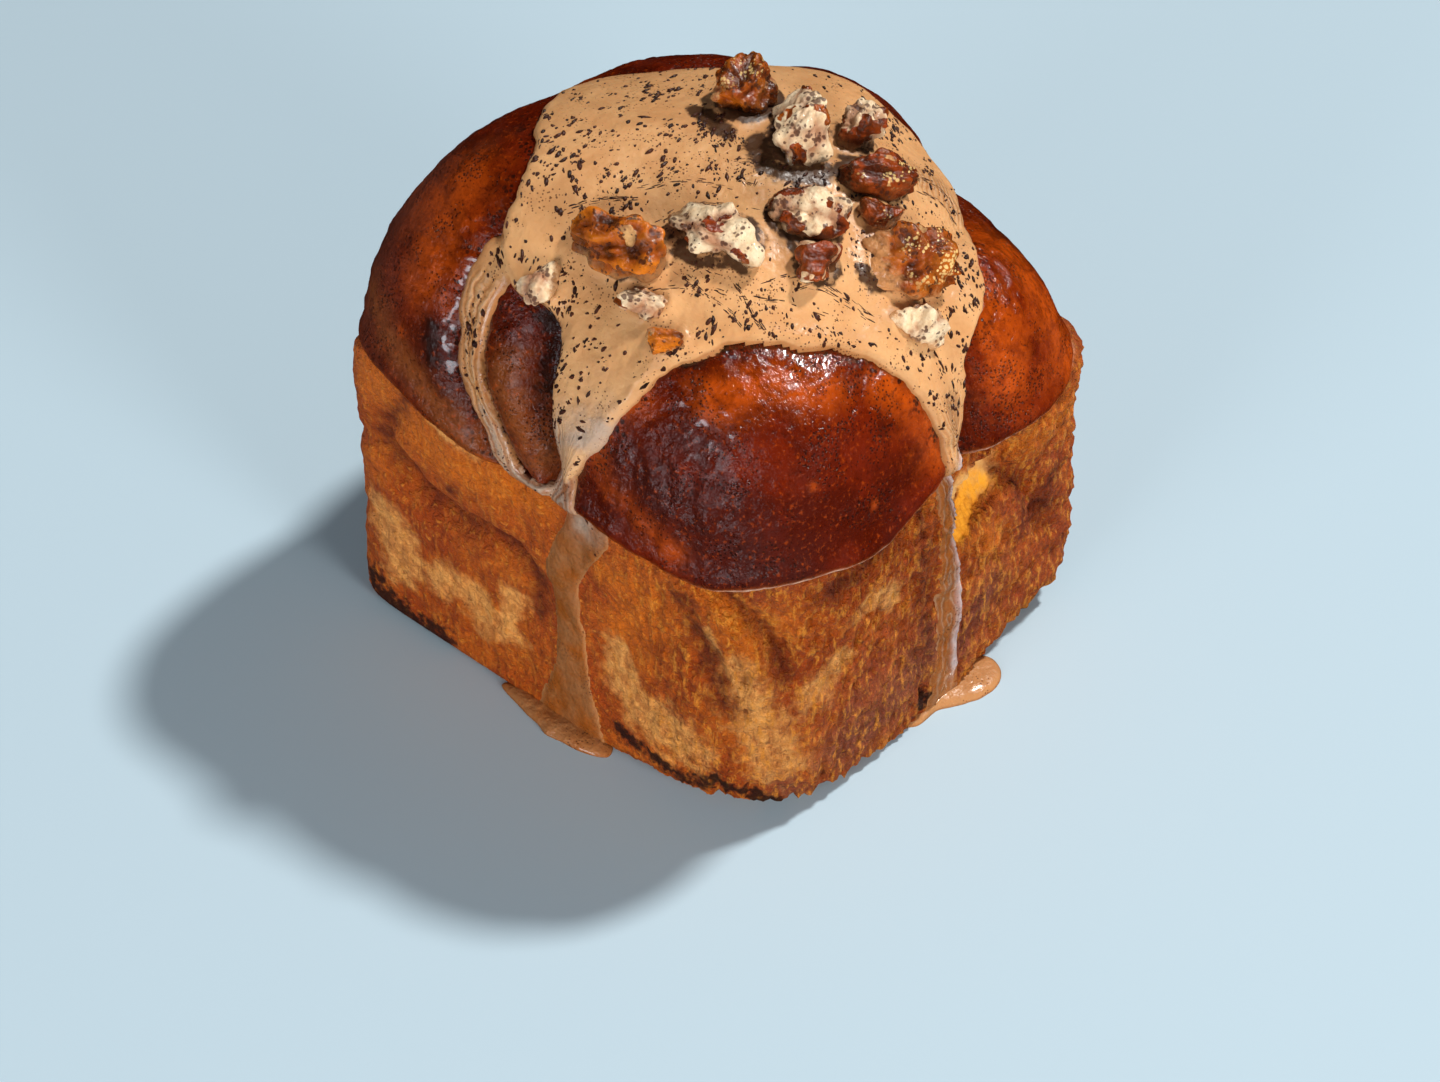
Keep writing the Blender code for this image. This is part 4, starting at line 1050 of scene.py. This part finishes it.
def crust_material(freckles, mottle, crumb):
    """Baked dough: golden torn crumb on the walls, and a glossy red-brown skin on the crown, with some
    painted highlight, sheen and shade.
    """
    material, tree, shader = new_material("baked crust")
    mask, fade, vary, times, plus = tree.mask, tree.fade, tree.vary, tree.times, tree.plus
    place = tree.position()
    crown, relief, above, right = (mask(name) for name in ("crown", "relief", "above_lip", "right"))
    patches = tree.group(mottle, Place=place, Scale=70.0, Low=0.36, High=0.64)
    small = tree.group(mottle, Place=place, Scale=330.0, Low=0.36, High=0.66)
    flakes = tree.group(crumb, Place=place, Scale=560.0)
    fibres = tree.noise(place, 800.0, 3.0, 0.6, stretch=(1.0, 1.0, 0.3))
    pores = tree.noise(place, 1100.0, 3.0, 0.65)
    dots = tree.group(freckles, Place=place, Scale=1500.0, Cluster_scale=120.0, Size=0.45)
    soot = tree.group(freckles, Place=place, Scale=900.0, Cluster_scale=260.0, Size=0.62)
    torn_edge = plus(times(tree.noise(place, 230.0, 5.0, 0.6), 1.6), -0.8)
    pale = times(fade(plus(mask("pale"), torn_edge), 0.15, 0.85), fade(mask("pale"), 0.02, 0.3))
    ragged = plus(times(tree.noise(place, 500.0, 4.0), 2.4), -1.2)
    scorched = plus(mask("scorched"), times(ragged, fade(mask("scorched"), 0.05, 0.3)))
    # A thin pale line along the lip: a pale film edge, partly painted glints
    lip = times(times(fade(above, -0.5, 0.1), fade(above, 1.5, 0.6)), mask("rim", vary(small, 0.9, 0.4)))
    near_icing = fade(mask("iced"), -7.0, -0.5)

    wall = tree.coats(
        GOLDEN,
        (patches, AMBER),
        (times(small, vary(right, 0.5, 0.35)), BROWN_CRUMB_AND_SHADE),
        (mask("orange", 0.85), ORANGE_CRUST),
        (times(pale, vary(small, 0.95, 0.5)), PALE_CRUMB),
        (fade(torn_edge, 0.22, 0.42, 0.0, 0.4), THREAD_AND_HIGHLIGHT),
        (fade(torn_edge, -0.2, -0.45, 0.0, 0.45), BROWN_CRUMB_AND_SHADE),
        (mask("plum", 0.75), PLUM_WALL),
        # More golden threads and darker gaps on the +X wall, where the key rakes: partly painted raking
        # highlight and shade
        (times(fade(fibres, 0.5, 0.68), vary(right, 0.25, 0.75)), THREAD_AND_HIGHLIGHT),
        (times(fade(fibres, 0.45, 0.3), vary(right, 0.2, 0.6)), BROWN_CRUMB_AND_SHADE),
        # Lighter on the raised flakes and crumb, darker between them and in the pits: painted highlight and
        # shade over the crumb's own grain
        (fade(flakes, 0.3, 0.6, 0.0, 0.5), THREAD_AND_HIGHLIGHT),
        (fade(flakes, 0.05, -0.3, 0.0, 0.6), BROWN_CRUMB_AND_SHADE),
        (fade(relief, 0.3, 1.3, 0.0, 0.5), THREAD_AND_HIGHLIGHT),
        (fade(relief, -0.3, -1.5, 0.0, 0.7), PIT_SHADE),
        # Painted shade along the creases and under the overhang
        (mask("brown", vary(small, 0.6, 0.95)), CREASE_SHADE_BROWN),
        # Painted highlight along the front strand's crest
        (mask("ridge", vary(small, 0.5, 0.0)), THREAD_AND_HIGHLIGHT),
        (fade(mask("torn"), 0.25, 0.7, 0.0, vary(small, 1.0, 0.7)), WINDOW_PALE),
        (times(fade(mask("yolk"), 0.05, 0.9), fade(fibres, 0.3, 0.6, 0.45, 1.0)), WINDOW_YELLOW),
        (fade(scorched, 0.3, 0.9, 0.0, 0.9), SCORCH_AND_SHADE))
    dome = tree.coats(
        CROWN_RED,
        (vary(patches, 0.0, 0.7), CROWN_DARK),
        (mask("orange", vary(small, 1.0, 0.5)), CROWN_ORANGE),
        # Plum on the crown: partly painted sheen on the front lobe and painted shade in the tongue's creases
        (mask("plum", vary(small, 1.0, 0.7)), CROWN_PLUM_SHEEN_AND_SHADE),
        (mask("dusty", 0.7), CROWN_DUSTY),
        (mask("amber", vary(small, 1.0, 0.7)), AMBER_SKIN),
        (fade(above, 2.4, 0.0, 0.0, 0.6), SEAM_ORANGE),
        (fade(pores, 0.55, 0.72, 0.0, 0.45), CROWN_ORANGE),
        (fade(pores, 0.45, 0.3, 0.0, 0.6), CROWN_DARK),
        (fade(scorched, 0.15, 0.9, 0.0, 0.85), SCORCH_AND_SHADE),
        (mask("blister", 0.6), CROWN_ORANGE),
        (lip, RIM_PALE_AND_GLINT),
        (times(dots, 0.7), SCORCH_AND_SHADE),
        (times(times(near_icing, soot), 0.85), SCORCH_AND_SHADE))
    tree.put(shader["Base Color"], tree.mix(crown, wall, dome))

    wall_share = tree.math("SUBTRACT", 1.0, crown)
    gloss = fade(tree.noise(place, 130.0, 3.0), 0.35, 0.7, 0.2, 0.36)
    gloss = tree.mix_value(mask("wet"), gloss, 0.12)
    gloss = tree.mix_value(mask("dusty", 0.8), gloss, 0.5)
    tree.put(shader["Roughness"], plus(times(crown, gloss), times(wall_share, 0.8)))
    tree.put(shader["Coat Weight"], times(crown, fade(mask("wet"), 0, 0.7, 0.1, 1.0)))
    shader["Coat Roughness"].default_value = 0.12

    smooth_crumb = fade(tree.math("MAXIMUM", mask("torn"), mask("yolk")), 0.1, 0.6, 1.0, 0.12)
    wall_bump = plus(times(flakes, vary(right, 1.4, 2.2)), times(fibres, vary(right, 0.5, 2.5)))
    wall_bump = times(times(wall_share, smooth_crumb), wall_bump)
    skin = plus(times(pores, 1.2), tree.noise(place, 620.0, 2.0))
    creased = times(tree.noise(place, 420.0, 2.0, 0.5, stretch=(1.0, 1.0, 0.5)), mask("plum"))
    skin = plus(times(skin, 0.26), times(creased, 0.8))
    crown_bump = times(crown, plus(skin, times(dots, -0.1)))
    tree.put(shader["Normal"], tree.bump(plus(wall_bump, crown_bump), 1.0))
    return material


def icing_material(freckles, mottle):
    """Poured caramel icing: tan and glossy, with brown film, milky streaks and dark syrup, which also paints
    the nuts' shadows and contact shade.
    """
    material, tree, shader = new_material("caramel icing")
    mask, fade, vary, times, plus = tree.mask, tree.fade, tree.vary, tree.times, tree.plus
    place = tree.position()
    patches = tree.group(mottle, Place=place, Scale=140.0, Low=0.35, High=0.7)
    small = tree.group(mottle, Place=place, Scale=420.0, Low=0.35, High=0.65)
    dust = tree.group(freckles, Place=place, Scale=1500.0, Cluster_scale=150.0, Size=0.34)
    film, milky, streaked, ring = (mask(name) for name in ("film", "milky", "streaked", "ring"))
    waver = times(tree.noise(place, 170.0, 2.0), 14.0)
    lines = tree.math("SINE", plus(mask("inside", 4.4), waver))
    syrup = times(tree.math("MAXIMUM", mask("syrup"), times(ring, 0.9)), vary(small, 1.3, 0.8))
    colour = tree.coats(
        ICING_TAN,
        (patches, ICING_LIGHT),
        (fade(mask("thickness"), 0.7, 0.05, 0.0, 0.75), ICING_THIN),
        (film, tree.mix(patches, FILM_GREY, FILM_BROWN)),
        (times(milky, vary(patches, 0.85, 0.35)), MILKY),
        (times(streaked, fade(lines, 0.5, 1.0, 0.0, 0.35)), MILKY),
        (times(streaked, fade(lines, 0.0, -1.0, 0.0, 0.6)), FILM_BROWN),
        (mask("string", 0.8), STRING_LILAC),
        # Dark syrup round and under the nuts: partly painted shadow and contact shade
        (fade(syrup, 0.35, 0.75, 0.0, 0.92), DARK_SYRUP_AND_SHADE),
        (times(dust, 0.8), SPECK_BROWN))
    tree.put(shader["Base Color"], colour)
    rough = fade(tree.noise(place, 220.0), 0.3, 0.7, 0.26, 0.42)
    tree.put(shader["Roughness"], plus(rough, times(ring, 0.15)))
    shader["Specular IOR Level"].default_value = 0.32
    shader["Coat Roughness"].default_value = 0.1
    shader["Subsurface Weight"].default_value = 0.15
    shader["Subsurface Radius"].default_value = (1.0, 0.5, 0.25)
    shader["Subsurface Scale"].default_value = 1.2 * MM
    runny = tree.math("MAXIMUM", film, tree.math("MAXIMUM", milky, streaked))
    tree.put(shader["Coat Weight"], times(runny, 0.9))
    waves = plus(tree.noise(place, 260.0, 2.0), times(tree.noise(place, 900.0, 2.0), 0.25))
    waves = plus(waves, times(times(lines, streaked), 0.2))
    waves = plus(waves, times(times(tree.noise(place, 480.0, 3.0), runny), 1.6))
    tree.put(shader["Normal"], tree.bump(waves, 0.5))
    return material


def speck_material():
    """Flakes of dark spice and nut skin."""
    material, tree, shader = new_material("spice flakes")
    tree.put(shader["Base Color"], tree.mix(tree.mask("shade"), SPECK_BLACK, SPECK_BROWN))
    shader["Roughness"].default_value = 0.45
    grain = tree.noise(tree.position(), 2500.0, 2.0)
    tree.put(shader["Normal"], tree.bump(grain, 0.1))
    return material


def pecan_material(freckles, mottle):
    """Toasted pecan: dark ridged skin, cream grainy breaks, and a glossy coat of syrup low down, with painted
    shade in the hollows and partly in the dark low parts.
    """
    material, tree, shader = new_material("toasted pecan")
    mask, fade, times, plus = tree.mask, tree.fade, tree.times, tree.plus
    place = tree.position()
    names = ("broken", "relief", "pale", "orange", "low", "tan")
    broken, relief, pale, orange, low, tan = (mask(name) for name in names)
    small = tree.group(mottle, Place=place, Scale=380.0, Low=0.35, High=0.65)
    dots = tree.group(freckles, Place=place, Scale=1100.0, Cluster_scale=300.0, Size=0.75)
    grains = tree.group(freckles, Place=place, Scale=1300.0, Cluster_scale=200.0, Size=0.6)
    skin = tree.coats(
        NUT_SKIN,
        (small, NUT_SKIN_DARK),
        (times(orange, fade(relief, -0.6, 0.8, 0.2, 1.0)), NUT_ORANGE),
        # Near black in the hollows of the skin's relief: painted shade
        (fade(relief, -0.2, -1.6, 0.0, 0.85), SCORCH_AND_SHADE))
    cream = tree.coats(
        NUT_CREAM,
        (tree.noise(place, 500.0, 4.0), NUT_TAN),
        # Toast brown in the hollows of the breaks: painted shade
        (fade(relief, 0.2, -1.4, 0.0, 0.8), NUT_TOAST_AND_SHADE))
    toasted = tree.mix(small, NUT_TAN, NUT_TOAST_AND_SHADE)
    inside = tree.mix(fade(plus(pale, times(small, -0.3)), 0.1, 0.5), toasted, cream)
    shown = fade(broken, 0.35, 0.65)
    sugary = times(fade(low, 0.6, 0.85), times(grains, fade(orange, 0.8, 0.45)))
    sugary = times(sugary, fade(pale, 0.5, 0.15, 0.0, 0.7))
    # Darker towards the bottom of each piece: the syrup colour there is partly painted shade
    wet = fade(plus(plus(low, times(small, 0.15)), times(tan, -0.1)), 0.6, 0.42)
    colour = tree.coats(
        skin,
        (shown, inside),
        (times(dots, 0.85), SPECK_BROWN),
        (sugary, SUGAR),
        (times(wet, 0.85), tree.mix(tan, DARK_SYRUP_AND_SHADE, SYRUP_TAN)))
    tree.put(shader["Base Color"], colour)
    tree.put(shader["Roughness"], tree.mix_value(wet, tree.vary(shown, 0.25, 0.6), 0.14))
    tree.put(shader["Coat Weight"], tree.vary(wet, 0.15, 0.6))
    shader["Coat Roughness"].default_value = 0.1
    grain = plus(tree.noise(place, 1100.0, 4.0), times(tree.noise(place, 450.0), 0.7))
    tree.put(shader["Normal"], tree.bump(grain, 0.5))
    return material


def floor_material():
    """A dull pale blue with the faintest unevenness."""
    material, tree, shader = new_material("plain floor")
    shade = tree.noise(tree.position(), 3.0, 1.0)
    tree.put(shader["Base Color"], tree.mix(shade, FLOOR_PALE, FLOOR_BLUE))
    shader["Roughness"].default_value = 0.9
    return material


def make_floor():
    """A plain pale floor, far wider than the camera sees."""
    corners = np.array([[-1, -1, 0], [1, -1, 0], [1, 1, 0], [-1, 1, 0]]) * FLOOR_HALF
    mesh = bpy.data.meshes.new("floor")
    mesh.from_pydata(corners * MM, [], [(0, 1, 2, 3)])
    mesh.materials.append(floor_material())
    floor = bpy.data.objects.new("floor", mesh)
    bpy.context.scene.collection.objects.link(floor)
    floor.visible_glossy = False


def aimed(back, roll=0.0):
    """The axes of a camera or lamp that looks along minus back: its right, its up, and back itself."""
    right = unit(np.cross([0, 0, 1], back))
    up = np.cross(back, right)
    c, s = np.cos(np.radians(roll)), np.sin(np.radians(roll))
    return np.stack([c * right + s * up, c * up - s * right, back], axis=1)


def place_object(data, axes, middle):
    """An object in the scene with its axes as columns and its middle in millimetres."""
    made = bpy.data.objects.new(data.name, data)
    bpy.context.scene.collection.objects.link(made)
    matrix = np.eye(4)
    matrix[:3, :3] = axes
    matrix[:3, 3] = np.array(middle) * MM
    made.matrix_world = Matrix(matrix.tolist())
    return made


def make_camera():
    """The photograph's view: a long lens, level with the loaf's corner and well above it."""
    back = direction(CAMERA_AZIMUTH - 90, CAMERA_ELEVATION)
    axes = aimed(back, CAMERA_ROLL)
    aim = axes[:, 0] * CAMERA_ASIDE + axes[:, 1] * CAMERA_ABOVE
    data = bpy.data.cameras.new("camera")
    data.lens, data.sensor_width = CAMERA_LENS, 36.0
    data.clip_start, data.clip_end = 0.05, 20.0
    bpy.context.scene.camera = place_object(data, axes, aim + back * CAMERA_DISTANCE)


def make_lamp(name, azimuth, elevation, distance, size, power, colour):
    """A round lamp at an azimuth and an elevation, turned towards the heart."""
    data = bpy.data.lights.new(name, "AREA")
    data.shape, data.size, data.energy, data.color = "DISK", size, power, colour
    back = direction(azimuth, elevation)
    return place_object(data, aimed(back), back * distance + np.array([0, 0, HEART_HEIGHT]))


def make_lights():
    """A hard key from the back right, soft fills in front, a lamp seen only in gloss, and pale air."""
    make_lamp("key", *KEY, KEY_COLOUR)
    for name, azimuth, elevation, size, power in FILLS:
        lamp = make_lamp(name, azimuth, elevation, FILL_DISTANCE, size, power, FILL_COLOUR)
        lamp.visible_glossy = False
    glint = make_lamp("glint", *GLINT, GLINT_COLOUR)
    glint.visible_diffuse = False
    world = bpy.data.worlds.new("air")
    world.use_nodes = True
    background = world.node_tree.nodes["Background"]
    background.inputs["Color"].default_value = AIR_COLOUR
    background.inputs["Strength"].default_value = AIR_STRENGTH
    world.cycles_visibility.glossy = False
    bpy.context.scene.world = world
    bpy.context.scene.view_settings.view_transform = "Standard"


def main():
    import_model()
    make_camera()
    make_lights()
    make_floor()
    freckles, mottle, crumb = make_groups()
    crust = crust_material(freckles, mottle, crumb)
    icing = icing_material(freckles, mottle)
    pecan = pecan_material(freckles, mottle)
    make_loaf(crust)
    make_icing(icing)
    make_specks(speck_material())
    for place in pecan_places():
        make_pecan(*place, pecan)
    for side, outline in PUDDLES.items():
        make_puddle("icing_puddle_" + side, outline, PUDDLE_THIN[side], icing)


main()
